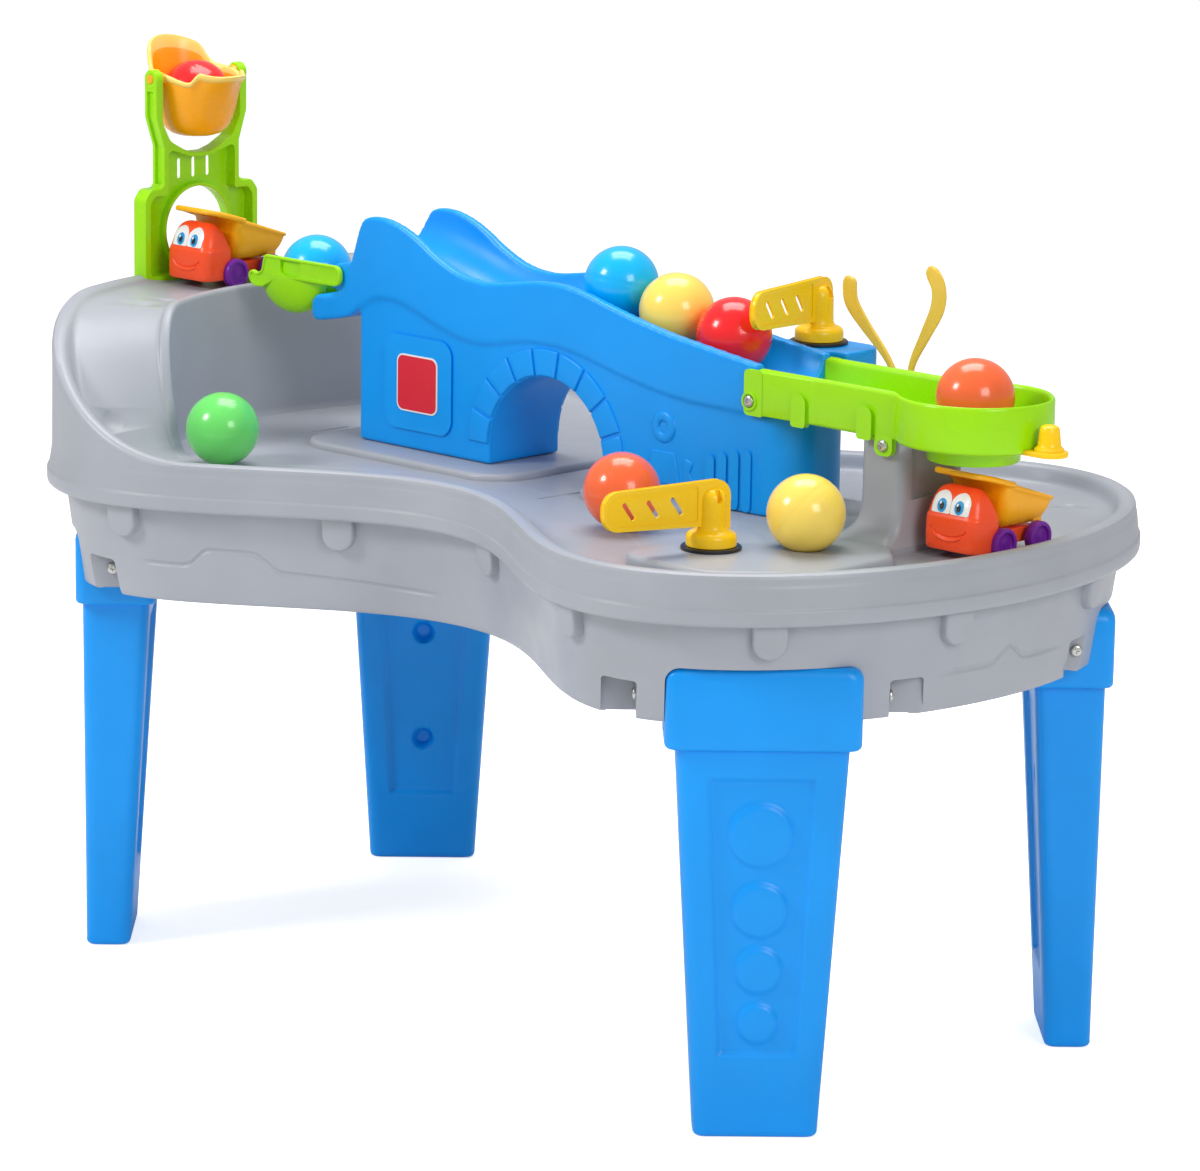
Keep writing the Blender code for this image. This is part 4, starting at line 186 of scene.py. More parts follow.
def moulded_group():
    """The faint mottle, grain and rubbed edges that all the moulded plastic shares."""
    group = bpy.data.node_groups.new("moulded plastic skin", "ShaderNodeTree")
    for label, kind, value in (
        ("Colour", "NodeSocketColor", (0.5, 0.5, 0.5, 1)),
        ("Rubbed Colour", "NodeSocketColor", (0.7, 0.7, 0.7, 1)),
        ("Mottle", "NodeSocketFloat", 0.06), ("Grain Scale", "NodeSocketFloat", 900.0),
        ("Roughness", "NodeSocketFloat", 0.35), ("Rub", "NodeSocketFloat", 0.3),
    ):
        group.interface.new_socket(name=label, in_out="INPUT", socket_type=kind).default_value = value
    for label, kind in (
        ("Colour", "NodeSocketColor"), ("Roughness", "NodeSocketFloat"), ("Height", "NodeSocketFloat"),
    ):
        group.interface.new_socket(name=label, in_out="OUTPUT", socket_type=kind)
    nodes = group.nodes
    links = group.links
    given = nodes.new("NodeGroupInput")
    made = nodes.new("NodeGroupOutput")
    place = nodes.new("ShaderNodeTexCoord")
    cloud = noise(group, place, 4, 9)
    grain = noise(group, place, 3)
    flow = noise(group, place, 2, 38)
    links.new(given.outputs["Grain Scale"], grain.inputs["Scale"])
    spread = nodes.new("ShaderNodeMapRange")
    spread.inputs["From Min"].default_value = 0.3
    spread.inputs["From Max"].default_value = 0.7
    spread.inputs["To Min"].default_value = -1.0
    spread.inputs["To Max"].default_value = 1.0
    links.new(cloud.outputs["Fac"], spread.inputs["Value"])
    amount = worked_out(group, "MULTIPLY", spread.outputs["Result"], given.outputs["Mottle"])
    tone = nodes.new("ShaderNodeHueSaturation")
    links.new(given.outputs["Colour"], tone.inputs["Color"])
    links.new(worked_out(group, "ADD", amount, 1.0), tone.inputs["Value"])
    shape = nodes.new("ShaderNodeNewGeometry")
    edge = nodes.new("ShaderNodeMapRange")
    edge.inputs["From Min"].default_value = 0.52
    edge.inputs["From Max"].default_value = 0.62
    links.new(shape.outputs["Pointiness"], edge.inputs["Value"])
    broken = worked_out(group, "MULTIPLY", edge.outputs["Result"], flow.outputs["Fac"])
    rub = worked_out(group, "MULTIPLY", broken, given.outputs["Rub"])
    worn = nodes.new("ShaderNodeMix")
    worn.data_type = "RGBA"
    links.new(rub, worn.inputs["Factor"])
    links.new(tone.outputs["Color"], worn.inputs["A"])
    links.new(given.outputs["Rubbed Colour"], worn.inputs["B"])
    links.new(worn.outputs["Result"], made.inputs["Colour"])
    uneven = worked_out(group, "MULTIPLY_ADD", flow.outputs["Fac"], 0.14, given.outputs["Roughness"])
    links.new(uneven, made.inputs["Roughness"])
    height = worked_out(group, "MULTIPLY_ADD", grain.outputs["Fac"], 0.6, flow.outputs["Fac"])
    links.new(height, made.inputs["Height"])
    return group


moulded_skin = moulded_group()


def moulded_plastic(name, colour, rubbed, roughness, mottle=0.05, grain=900.0, bump=0.06, rub=0.35, coat=0.0):
    """A dyed plastic with its own colour, grain and gloss."""
    material = bpy.data.materials.new(name)
    material.use_nodes = True
    shader = material.node_tree.nodes["Principled BSDF"]
    links = material.node_tree.links
    skin_group = material.node_tree.nodes.new("ShaderNodeGroup")
    skin_group.node_tree = moulded_skin
    skin_group.inputs["Colour"].default_value = (*colour, 1)
    skin_group.inputs["Rubbed Colour"].default_value = (*rubbed, 1)
    skin_group.inputs["Roughness"].default_value = roughness - 0.07
    skin_group.inputs["Mottle"].default_value = mottle
    skin_group.inputs["Grain Scale"].default_value = grain
    skin_group.inputs["Rub"].default_value = rub
    relief = material.node_tree.nodes.new("ShaderNodeBump")
    relief.inputs["Strength"].default_value = bump
    relief.inputs["Distance"].default_value = 0.0006
    links.new(skin_group.outputs["Colour"], shader.inputs["Base Color"])
    links.new(skin_group.outputs["Roughness"], shader.inputs["Roughness"])
    links.new(skin_group.outputs["Height"], relief.inputs["Height"])
    links.new(relief.outputs["Normal"], shader.inputs["Normal"])
    shader.inputs["Specular IOR Level"].default_value = 0.36
    shader.inputs["Coat Weight"].default_value = coat
    shader.inputs["Coat Roughness"].default_value = 0.08
    return material


grey_plastic = moulded_plastic(
    "grey_moulded_plastic", (0.375, 0.392, 0.435), (0.50, 0.515, 0.55), 0.34, 0.05, 700.0, 0.10,
)
blue_plastic = moulded_plastic(
    "blue_moulded_plastic", (0.0, 0.320, 0.90), (0.01, 0.42, 0.95), 0.34, 0.05, 800.0, 0.09,
)
green_plastic = moulded_plastic(
    "green_plastic", (0.335, 0.76, 0.002), (0.44, 0.86, 0.03), 0.26, 0.04, 1200.0, 0.04,
)
yellow_plastic = moulded_plastic(
    "yellow_plastic", (1.0, 0.61, 0.004), (1.0, 0.78, 0.10), 0.27, 0.04, 1200.0, 0.04,
)


def clear_hands():
    """Nothing selected and no piece held."""
    if bpy.context.object is not None and bpy.context.object.mode != "OBJECT":
        bpy.ops.object.mode_set(mode="OBJECT")
    bpy.ops.object.select_all(action="DESELECT")


def hold(item):
    clear_hands()
    item.select_set(True)
    bpy.context.view_layer.objects.active = item


def skin(name, rows, closed=True, caps=True):
    """A grid whose rows are laid on the given lines of points; closed rows join up, and caps shut the ends."""
    clear_hands()
    count = len(rows[0])
    across_count = count if closed else count - 1
    bpy.ops.mesh.primitive_grid_add(x_subdivisions=across_count, y_subdivisions=len(rows) - 1, size=1)
    item = bpy.context.object
    item.name = name
    item.location = (0, 0, 0)
    flat = []
    for row in rows:
        line = list(row) + [row[0]] if closed else list(row)
        for point in line:
            flat.extend(point)
    item.data.vertices.foreach_set("co", flat)
    item.data.update()
    bpy.ops.object.mode_set(mode="EDIT")
    bpy.ops.mesh.select_all(action="SELECT")
    bpy.ops.mesh.remove_doubles(threshold=0.000002)
    if caps:
        bpy.ops.mesh.select_all(action="DESELECT")
        bpy.ops.mesh.select_mode(type="EDGE")
        bpy.ops.mesh.select_non_manifold()
        bpy.ops.mesh.edge_face_add()
        bpy.ops.mesh.select_mode(type="VERT")
    bpy.ops.mesh.select_all(action="SELECT")
    bpy.ops.mesh.normals_make_consistent(inside=False)
    bpy.ops.object.mode_set(mode="OBJECT")
    return item


def eased(corners, steps=4):
    """Eases each corner (a, b, reach) of an open line with a curve that starts reach before it."""
    points = []
    last = len(corners) - 1
    for i, (a, b, reach) in enumerate(corners):
        corner = Vector((a, b))
        if i == 0 or i == last:
            points.append((a, b))
            continue
        before = Vector(corners[i - 1][:2]) - corner
        after = Vector(corners[i + 1][:2]) - corner
        start = corner + before.normalized() * min(reach, before.length * 0.46)
        end = corner + after.normalized() * min(reach, after.length * 0.46)
        for k in range(steps + 1):
            t = k / steps
            point = start * (1 - t) ** 2 + corner * (2 * t * (1 - t)) + end * t * t
            points.append((point.x, point.y))
    return points


def rounded(corners, radii, steps=8):
    """Rounds each corner of a closed outline with its own radius."""
    points = []
    count = len(corners)
    for i in range(count):
        corner = Vector(corners[i][:2])
        before = (Vector(corners[i - 1][:2]) - corner)
        after = (Vector(corners[(i + 1) % count][:2]) - corner)
        radius = radii[i] if isinstance(radii, (list, tuple)) else radii
        half = before.angle(after) / 2
        if radius <= 0 or half > 1.55:
            points.append(tuple(corner))
            continue
        reach = min(radius / math.tan(half), before.length * 0.49, after.length * 0.49)
        radius = reach * math.tan(half)
        middle = corner + (before.normalized() + after.normalized()).normalized() * radius / math.sin(half)
        first = corner + before.normalized() * reach - middle
        sweep = math.pi - 2 * half
        sign = 1 if before.x * after.y - before.y * after.x < 0 else -1
        for k in range(steps + 1):
            spin = Matrix.Rotation(sign * sweep * k / steps, 2)
            points.append(tuple(middle + spin @ first))
    return points


def oblong(a_low, b_low, a_high, b_high):
    """The four corners of an upright oblong, in order."""
    return [(a_low, b_low), (a_high, b_low), (a_high, b_high), (a_low, b_high)]


def smooth_rise(value):
    value = min(1.0, max(0.0, value))
    return value * value * (3 - 2 * value)


def waist_y(x):
    rise = math.sin(math.pi / 2 * min(1.0, abs(x) / lobe_x)) ** 2
    return waist_half_width + (half_width - waist_half_width) * rise


def ramp_climb(turn):
    return min(1.0, max(0.0, (turn + 0.465) / 1.47))


def road_share(climb):
    return smooth_rise((climb - 0.19) / 0.73)


def road_z(climb):
    return floor_z + (deck_z - floor_z) * road_share(climb)


def crest_z(climb):
    return 0.510 + 0.122 * smooth_rise(climb)


def ridge_z(climb):
    return road_z(climb) + 0.005 * min(1.0, 3 * road_share(climb))


def relief_line(place, back):
    """Height of the line pressed into the skirt, and how deep it is there: a low hill between two flats."""
    x, y = place
    if back:
        y = -y
    if x < -0.010 and x > -0.300 and y < 0:
        base = 0.4085 - 0.010 * smooth_rise((x + 0.22) / 0.20)
        reach = min(smooth_rise((x + 0.285) / 0.014), smooth_rise((-0.014 - x) / 0.014))
        hump = smooth_rise((0.235 + x) / 0.022) * smooth_rise((-0.152 - x) / 0.024)
        return base + 0.0165 * hump, reach
    if x > 0.480 and -0.085 < y < 0.130:
        base = 0.4065
        reach = min(smooth_rise((y + 0.085) / 0.014), smooth_rise((0.130 - y) / 0.014))
        hump = smooth_rise((y + 0.026) / 0.030) * smooth_rise((0.052 - y) / 0.030)
        return base + 0.016 * hump, reach
    return 0.406, 0.0


contour = []
for k in range(lobe_steps):
    angle = math.pi * (k / lobe_steps - 0.5)
    contour.append((lobe_x + lobe_reach * math.cos(angle), half_width * math.sin(angle), 0.0))
for k in range(waist_steps):
    x = lobe_x * (1 - 2 * k / waist_steps)
    contour.append((x, waist_y(x), ramp_climb((-lobe_x - x) / lobe_reach)))
for k in range(lobe_steps):
    angle = math.pi * (k / lobe_steps + 0.5)
    climb = ramp_climb(min(angle - 0.5 * math.pi, 1.5 * math.pi - angle))
    contour.append((-lobe_x + lobe_reach * math.cos(angle), half_width * math.sin(angle), climb))
for k in range(waist_steps):
    x = -lobe_x * (1 - 2 * k / waist_steps)
    contour.append((x, -waist_y(x), ramp_climb((-lobe_x - x) / lobe_reach)))

outwards = []
for i in range(len(contour)):
    before = contour[i - 1]
    after = contour[(i + 1) % len(contour)]
    along = Vector((after[0] - before[0], after[1] - before[1])).normalized()
    outwards.append(Vector((along.y, -along.x)))

columns = []
for (x, y, climb), outward in zip(contour, outwards):
    road = road_z(climb)
    crest = crest_z(climb)
    ridge = ridge_z(climb)
    under = road_z(climb - 0.08) - 0.008
    raised = crest - 0.510
    line_z, line_depth = relief_line((x, y), y > 0)

    def skirt(z, sink=0.0):
        return (0.018 + (bead_low_z - z) / (bead_low_z - skirt_low_z) * 0.012 + sink * line_depth, z)

    waist_of_wall = 0.0045 + 0.0015 * min(1.0, raised / 0.05)
    corners = [
        (0.112, 0.485, 0), (0.096, under, 0.008), (0.016, under, 0.006), (0.027, bead_low_z, 0.002),
        (0.0378, skirt_low_z + 0.002, 0.001), (0.036, skirt_low_z, 0.001), (0.0308, skirt_low_z, 0.0016),
        (*skirt(skirt_low_z + 0.004), 0.003), (*skirt(line_z - 0.0030), 0.0008),
        (*skirt(line_z - 0.0008, 0.0016), 0.0008), (*skirt(line_z + 0.0008, 0.0016), 0.0008),
        (*skirt(line_z + 0.0030), 0.0008), (*skirt(bead_low_z), 0.0025),
        (0.0, bead_low_z, 0.0045), (0.0, 0.4780, 0.0014), (0.0017, 0.4793, 0.0010),
        (waist_of_wall - 0.001, 0.4975, 0.008), (waist_of_wall, max(0.5000, crest - 0.020), 0.008),
        (0.0055, crest, 0.0075), (0.0195, crest, 0.0065), (0.0265, road, 0.0065), (0.1075, road, 0.004),
        (0.1095, ridge + 0.0004, 0.0030), (0.1185, ridge + 0.0004, 0.0045), (0.1235, floor_z, 0.0085),
        (0.1340, floor_z, 0),
    ]
    column = []
    for inset, z in eased(corners, 3):
        column.append((x - outward.x * inset, y - outward.y * inset, z))
    columns.append(column)
rows = [[column[k] for column in columns] for k in range(len(columns[0]))]


def to_spine(row, z, shares):
    """Rows that draw in from a closed row to the middle line of the table, to shut it flat."""
    drawn = []
    for share in shares:
        line = []
        for x, y, old_z in row:
            spine_x = max(-0.300, min(0.300, x))
            line.append((x + (spine_x - x) * share, y * (1 - share), z))
        drawn.append(line)
    return drawn


shares = (0.12, 0.3, 0.5, 0.75, 1.0)
rows = to_spine(rows[0], 0.485, shares)[::-1] + rows + to_spine(rows[-1], floor_z, shares)
tray = skin("tray_top", rows, caps=False)


def slab(name, outline, low, high, soft, axis="Z", steps=3, both=True):
    """A plate cut to an outline, with its edges eased over a distance of soft."""
    profile = [(soft, low)] if both else []
    for k in range(1, steps + 1):
        angle = math.pi / 2 * k / steps
        if both:
            profile.append((soft * (1 - math.sin(angle)), low + soft * (1 - math.cos(angle))))
    if not both:
        profile.append((0.0, low))
    for k in range(steps + 1):
        angle = math.pi / 2 * k / steps
        profile.append((soft * (1 - math.cos(angle)), high - soft * (1 - math.sin(angle))))
    count = len(outline)
    rows = []
    for inset, height in profile:
        row = []
        for i in range(count):
            before = Vector(outline[i - 1])
            here = Vector(outline[i])
            after = Vector(outline[(i + 1) % count])
            first = (here - before).normalized()
            second = (after - here).normalized()
            side = Vector((first.y + second.y, -first.x - second.x))
            side = side.normalized() / max(0.35, math.sqrt(max(0.0, (1 + first.dot(second)) / 2)))
            point = here - side * inset
            if axis == "X":
                row.append((height, point.x, point.y))
            elif axis == "Y":
                row.append((point.x, height, point.y))
            else:
                row.append((point.x, point.y, height))
        rows.append(row)
    return skin(name, rows)


def join(name, items):
    hold(items[0])
    for item in items[1:]:
        item.select_set(True)
    bpy.ops.object.join()
    items[0].name = name
    return items[0]


def carve(item, tool, operation="DIFFERENCE", crossing=False):
    """Takes a tool's shape out of a piece, or adds it, and throws the tool away."""
    hold(item)
    change = item.modifiers.new("carve", "BOOLEAN")
    change.operation = operation
    change.solver = "EXACT"
    change.use_self = crossing
    change.object = tool
    bpy.ops.object.modifier_apply(modifier=change.name)
    bpy.data.objects.remove(tool, do_unlink=True)
    return item


def ellipse_dome(name, place, radii, steps=24, turn=None):
    """A ball pressed out to three radii; its place and turn go into its mesh."""
    clear_hands()
    bpy.ops.mesh.primitive_uv_sphere_add(segments=steps, ring_count=steps // 2, radius=1)
    item = bpy.context.object
    item.name = name
    matrix = Matrix.Translation(place)
    if turn is not None:
        matrix = matrix @ turn
    item.data.transform(matrix @ Matrix.Diagonal((*radii, 1)))
    return item


def leg_place(x, y, angle):
    return Matrix.Translation((x, y, 0)) @ Matrix.Rotation(angle - math.pi / 2, 4, "Z")


legs = [
    ("leg_front_right", leg_place(0.446, -0.229, math.radians(-45))),
    ("leg_back_right", leg_place(0.446, 0.229, math.radians(45))),
    ("leg_back_left", leg_place(-0.446, 0.229, math.radians(135))),
    ("leg_front_left", leg_place(-0.446, -0.229, math.radians(-135))),
]
block_start = 0.0858
block_end = 0.1098


def read_line(points, x):
    """Reads a broken line through sorted (x, value) points."""
    for (x0, y0), (x1, y1) in zip(points, points[1:]):
        if x0 <= x <= x1:
            return y0 + (y1 - y0) * (x - x0) / max(1e-9, x1 - x0)
    return points[-1][1]


def leg_socket(matrix, side):
    """The block beside a leg: its outer face follows the skirt, and it backs the screw's pocket."""
    local = matrix.inverted()
    near = block_start - 0.003
    far = block_end + 0.038
    rows = []
    for z, inset, back in (
        (skirt_low_z + 0.0006, 0.0345, 0.0015), (skirt_low_z + 0.0025, 0.0335, 0.0),
        (bead_low_z, 0.022, 0.0), (0.489, 0.022, 0.0),
    ):
        face = []
        for (x, y, climb), outward in zip(contour, outwards):
            spot = local @ Vector((x - outward.x * inset, y - outward.y * inset, 0))
            if spot.y > -0.100 and abs(spot.x) < far + 0.040:
                face.append((spot.x * side, spot.y))
        face.sort()
        outline = []
        for k in range(9):
            x = near + (far - back - near) * k / 8
            outline.append((x * side, read_line(face, x)))
        outline += [((far - back) * side, -0.072 + back), (near * side, -0.072 + back)]
        rows.append([matrix @ Vector((x, y, z)) for x, y in outline])
    return skin("socket", rows)


tools = []
blocks = []
for label, matrix in legs:
    mouth = oblong(-block_start, 0.350, block_start, 0.4226)
    mouth = slab("mouth", rounded(mouth, [0, 0, 0.0135, 0.0135], 8)[::-1], -0.0725, 0.060, 0.0006, "Y")
    mouth.data.transform(matrix)
    tools.append(mouth)
    for side in (-1, 1):
        blocks.append(leg_socket(matrix, side))
        x_low, x_high = sorted((side * (block_end - 0.0004), side * (block_end + 0.030)))
        pocket = oblong(x_low, 0.350, x_high, 0.4060)
        pocket = slab("pocket", rounded(pocket, 0.0035, 5)[::-1], -0.047, 0.060, 0.002, "Y")
        pocket.data.transform(matrix)
        tools.append(pocket)
tray = join("tray_top", [tray] + blocks)
tray = carve(tray, join("tray_tools", tools), crossing=True)

plinth_corners = oblong(-0.305, -0.088, -0.025, 0.088)
plinth = slab(
    "plinth", rounded(plinth_corners, [0.040, 0.040, 0.040, 0.030], 12), 0.488, plinth_z, 0.0045, steps=4,
)
pad_corners = [
    (0.064, -0.078), (0.262, -0.078), (0.290, -0.112), (0.290, -0.258), (0.400, -0.258), (0.468, -0.190),
    (0.468, -0.088), (0.437, -0.058), (0.437, 0.070), (0.300, 0.078), (0.064, 0.078),
]
pad_radii = [0.020, 0.020, 0.020, 0.030, 0.050, 0.040, 0.015, 0.015, 0.015, 0.015, 0.020]
pad = slab("pad", rounded(pad_corners, pad_radii, 10), 0.488, pad_z, 0.005, steps=4)

pillar_rows = []
pillar_low_z = pad_z - 0.004
pillar_top_z = 0.5947
for k in range(41):
    share = k / 40
    flare = 0.030 * math.exp(-share * 11)
    spread = smooth_rise((share - 0.80) / 0.2) * 0.013
    low_corner = (0.386 - flare, -0.044 - flare)
    high_corner = (0.434 + spread + flare * 0.10, 0.044 + flare)
    ring_corners = [low_corner, (high_corner[0], low_corner[1]), high_corner, (low_corner[0], high_corner[1])]
    z = pillar_low_z + (pillar_top_z - pillar_low_z) * share
    pillar_rows.append([(x, y, z) for x, y in rounded(ring_corners, 0.009, 6)])
pillar = skin("pillar", pillar_rows)


def turned(name, profile, place, axis=(0, 0, 1), steps=48):
    """A profile of (radius, height) spun about an axis through a place."""
    clear_hands()
    closed_profile = profile[0][0] > 0 and profile[-1][0] > 0
    bpy.ops.mesh.primitive_circle_add(vertices=len(profile), radius=1)
    item = bpy.context.object
    item.name = name
    for vert, (radius, height) in zip(item.data.vertices, profile):
        vert.co = (radius, 0, height)
    bpy.ops.object.mode_set(mode="EDIT")
    if not closed_profile or profile[0] != profile[-1]:
        bpy.ops.mesh.select_all(action="DESELECT")
        bpy.ops.mesh.select_mode(type="EDGE")
        shape = bmesh.from_edit_mesh(item.data)
        shape.verts.ensure_lookup_table()
        ends = {0, len(profile) - 1}
        for edge in shape.edges:
            if {edge.verts[0].index, edge.verts[1].index} == ends:
                edge.select_set(True)
        bmesh.update_edit_mesh(item.data)
        bpy.ops.mesh.delete(type="EDGE")
        bpy.ops.mesh.select_mode(type="VERT")
    bpy.ops.mesh.select_all(action="SELECT")
    bpy.ops.mesh.spin(steps=steps, angle=2 * math.pi, center=(0, 0, 0), axis=(0, 0, 1))
    bpy.ops.mesh.select_all(action="SELECT")
    bpy.ops.mesh.remove_doubles(threshold=0.00001)
    bpy.ops.mesh.select_all(action="SELECT")
    bpy.ops.mesh.normals_make_consistent(inside=False)
    bpy.ops.object.mode_set(mode="OBJECT")
    turn = Vector((0, 0, 1)).rotation_difference(Vector(axis)).to_matrix().to_4x4()
    item.data.transform(Matrix.Translation(place) @ turn)
    return item


pillar = carve(pillar, turned("bowl_room", oblong(0, 0.54, 0.0543, 0.62), (0.480, 0, 0), steps=72))

bumps = []
for x in (-0.297, -0.106, 0.053, 0.281):
    for side in (-1, 1):
        bumps.append((x, side * waist_y(x)))
for degrees in (-49.8, -13.8, 23.5, 203.5, 166.2, 130.2):
    angle = math.radians(degrees)
    centre_x = lobe_x if abs(degrees) < 90 else -lobe_x
    bumps.append((centre_x + lobe_reach * math.cos(angle), half_width * math.sin(angle)))
studs = []
for x, y in bumps:
    nearest = min(range(len(contour)), key=lambda i: (contour[i][0] - x) ** 2 + (contour[i][1] - y) ** 2)
    outward = outwards[nearest]
    stud_rows = []
    for lift, scale in (
        (-0.010, 1.0), (0.0045, 1.0), (0.0065, 0.985), (0.0078, 0.95), (0.0086, 0.90), (0.0089, 0.82),
    ):
        row = []
        half = 0.0155 * scale
        for px, pz in [(-half, 0.010), (half, 0.010)] + [
            (half * math.cos(a * math.pi / 16), -0.014 - half * math.sin(a * math.pi / 16)) for a in range(17)
        ]:
            z = 0.462 + pz
            inset = 0.018 + (bead_low_z - z) / 0.092 * 0.012 - lift
            row.append((x - outward.x * inset - outward.y * px, y - outward.y * inset + outward.x * px, z))
        stud_rows.append(row)
    studs.append(skin("stud", stud_rows))

notch_corners = oblong(-0.0873, 0.623, 0.0633, 0.660)
notch = slab("notch", rounded(notch_corners, [0.002, 0.002, 0, 0], 4), -0.5710, -0.5220, 0.0006, "X")
carve(tray, notch, crossing=True)

bpy.context.view_layer.update()
for x, y, radius, depth in (
    (-0.436, -0.166, 0.030, 0.0030), (-0.357, -0.272, 0.030, 0.0030), (-0.437, -0.132, 0.022, 0.0018),
    (0.397, 0.240, 0.020, 0.0022),
):
    hit, spot, facing, number = tray.ray_cast(Vector((x, y, 0.9)), Vector((0, 0, -1)))
    carve(tray, ellipse_dome("dimple", spot + facing * (radius - depth), (radius, radius, radius), 40))
for x, y in ((0.392, -0.120), (0.389, -0.021)):
    carve(pad, ellipse_dome("dent", (x, y, 0.534), (0.036, 0.036, 0.036), 56))

lines = []
for start, end in (((-0.340, -0.042), (-0.335, 0.013)), ((0.046, -0.104), (0.052, -0.048))):
    along = (Vector(end) - Vector(start)).normalized() * 0.0012
    side = Vector((along.y, -along.x))
    ends = [
        Vector(start) - along + side, Vector(end) + along + side, Vector(end) + along - side,
        Vector(start) - along - side,
    ]
    lines.append(slab("raised_line", rounded(ends, 0.0011, 4), 0.4905, 0.4941, 0.0008))
tray = join("tray_top", [tray, plinth, pad, pillar] + studs + lines)


def settle(item, angle=35):
    """Shades a piece smooth up to an angle."""
    hold(item)
    bpy.ops.object.shade_smooth_by_angle(angle=math.radians(angle))
    return item


def dress(item, material, body, nodes):
    """Gives a finished piece its material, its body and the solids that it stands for."""
    item.data.materials.clear()
    item.data.materials.append(material)
    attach(item, body)
    if nodes:
        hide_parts(*nodes)
    return item


dress(settle(tray), grey_plastic, "table", ["tray"])


# Legs: four blue mouldings that taper to the floor, with a sunk panel and four raised discs on the
# outer face, a hollowed inner face, a wide collar and a tongue that goes up into the table top.
def leg_relief(x, z):
    """How far the outer face lies back from flat: the panel is pressed in, the discs stand in it."""
    edge = 0.0335 + 0.0478 * (z - 0.075)
    inside = min(edge - abs(x), z - 0.076, 0.322 - z)
    sunk = 0.0042 * smooth_rise((inside + 0.0028) / 0.0056)
    raised = 0.0
    for radius, height in ((0.0285, 0.272), (0.0245, 0.205), (0.0210, 0.151), (0.0180, 0.103)):
        reach = math.hypot(x, z - height)
        if reach < radius + 0.004:
            dome = 0.0036 * smooth_rise((radius + 0.0022 - reach) / 0.0055)
            raised = max(raised, dome + 0.0005 * max(0.0, 1 - (reach / radius) ** 2))
    return sunk - raised


def leg_hollow(x, z):
    """The inner face: a long pressed panel with two round cups."""
    edge = 0.0330 + 0.046 * (z - 0.070)
    inside = min(edge - abs(x), z - 0.072, 0.328 - z)
    sunk = 0.0045 * smooth_rise((inside + 0.0028) / 0.0056)
    for height in (0.130, 0.245):
        reach = math.hypot(x, z - height)
        sunk += 0.011 * smooth_rise((0.0125 - reach) / 0.006)
    return sunk


def leg_outline(width, depth, front, z, radius, relief=False):
    """One closed line round the leg, many points on the two broad faces."""
    x_half = width / 2
    ring = []
    sides = (
        (Vector((-x_half + radius, front)), Vector((x_half - radius, front)), 64),
        (Vector((x_half, front - radius)), Vector((x_half, front - depth + radius)), 8),
        (Vector((x_half - radius, front - depth)), Vector((-x_half + radius, front - depth)), 64),
        (Vector((-x_half, front - depth + radius)), Vector((-x_half, front - radius)), 8),
    )
    for i, (start, end, steps) in enumerate(sides):
        for k in range(steps + 1):
            point = start.lerp(end, k / steps)
            y = point.y
            if relief and i == 0:
                y -= leg_relief(point.x, z)
            if relief and i == 2:
                y += leg_hollow(point.x, z)
            ring.append((point.x, y, z))
        following = sides[(i + 1) % 4][0]
        corner = Vector((end.x if i % 2 else following.x, end.y if i % 2 == 0 else following.y))
        for k in range(1, 6):
            t = k / 6
            point = end * (1 - t) ** 2 + corner * (2 * t * (1 - t)) + following * t * t
            ring.append((point.x, point.y, z))
    return ring


leg_rows = []
for z, trim in ((0.0, 0.0042), (0.0006, 0.0024), (0.0018, 0.0010), (0.0040, 0.0)):
    leg_rows.append(leg_outline(0.109 - 2 * trim, 0.043 - 2 * trim, -trim, z, 0.010))
for k in range(1, 141):
    z = 0.0040 + (0.3480 - 0.0040) * k / 140
    share = z / 0.350
    relief = 0.066 < z < 0.334
    leg_rows.append(leg_outline(0.109 + 0.042 * share, 0.043 + 0.022 * share, 0.0, z, 0.012, relief))
for z, trim in (
    (0.3486, 0.0085), (0.3488, 0.0050), (0.3496, 0.0022), (0.3514, 0.0006), (0.3540, 0.0), (0.3700, 0.0),
    (0.3900, 0.0),
    (0.4110, 0.0), (0.4150, 0.0008), (0.4182, 0.0027), (0.4204, 0.0052), (0.4216, 0.0080), (0.4220, 0.0110),
):
    leg_rows.append(
        leg_outline(
            0.171 - 2 * trim, 0.078 - min(0.010, 1.2 * trim), 0.006 - min(0.005, 0.6 * trim), z, 0.012,
        )
    )
for z in (0.4221, 0.4830, 0.4845):
    leg_rows.append(leg_outline(0.140, 0.046, -0.020, z, 0.008))
leg_pattern = skin("leg_pattern", leg_rows)
for label, matrix in legs:
    leg = leg_pattern.copy()
    leg.data = leg_pattern.data.copy()
    leg.name = label + "_moulding"
    bpy.context.collection.objects.link(leg)
    leg.data.transform(matrix)
    dress(settle(leg, 40), blue_plastic, "table", [label])
bpy.data.objects.remove(leg_pattern, do_unlink=True)

# Screws: zinc plated pan heads with a cross recess. Eight hold the legs in the pockets of the skirt,
# two hold the outlet track to the hill and two hold it to the pillar.
steel = bpy.data.materials.new("zinc_plated_steel")
steel.use_nodes = True
shader = steel.node_tree.nodes["Principled BSDF"]
links = steel.node_tree.links
place = steel.node_tree.nodes.new("ShaderNodeTexCoord")
brushed = noise(steel.node_tree, place, 4, 1400)
tint = steel.node_tree.nodes.new("ShaderNodeValToRGB")
tint.color_ramp.elements[0].color = (0.45, 0.45, 0.43, 1)
tint.color_ramp.elements[1].color = (0.74, 0.74, 0.71, 1)
gloss = steel.node_tree.nodes.new("ShaderNodeMapRange")
gloss.inputs["To Min"].default_value = 0.22
gloss.inputs["To Max"].default_value = 0.42
links.new(brushed.outputs["Fac"], tint.inputs["Fac"])
links.new(brushed.outputs["Fac"], gloss.inputs["Value"])
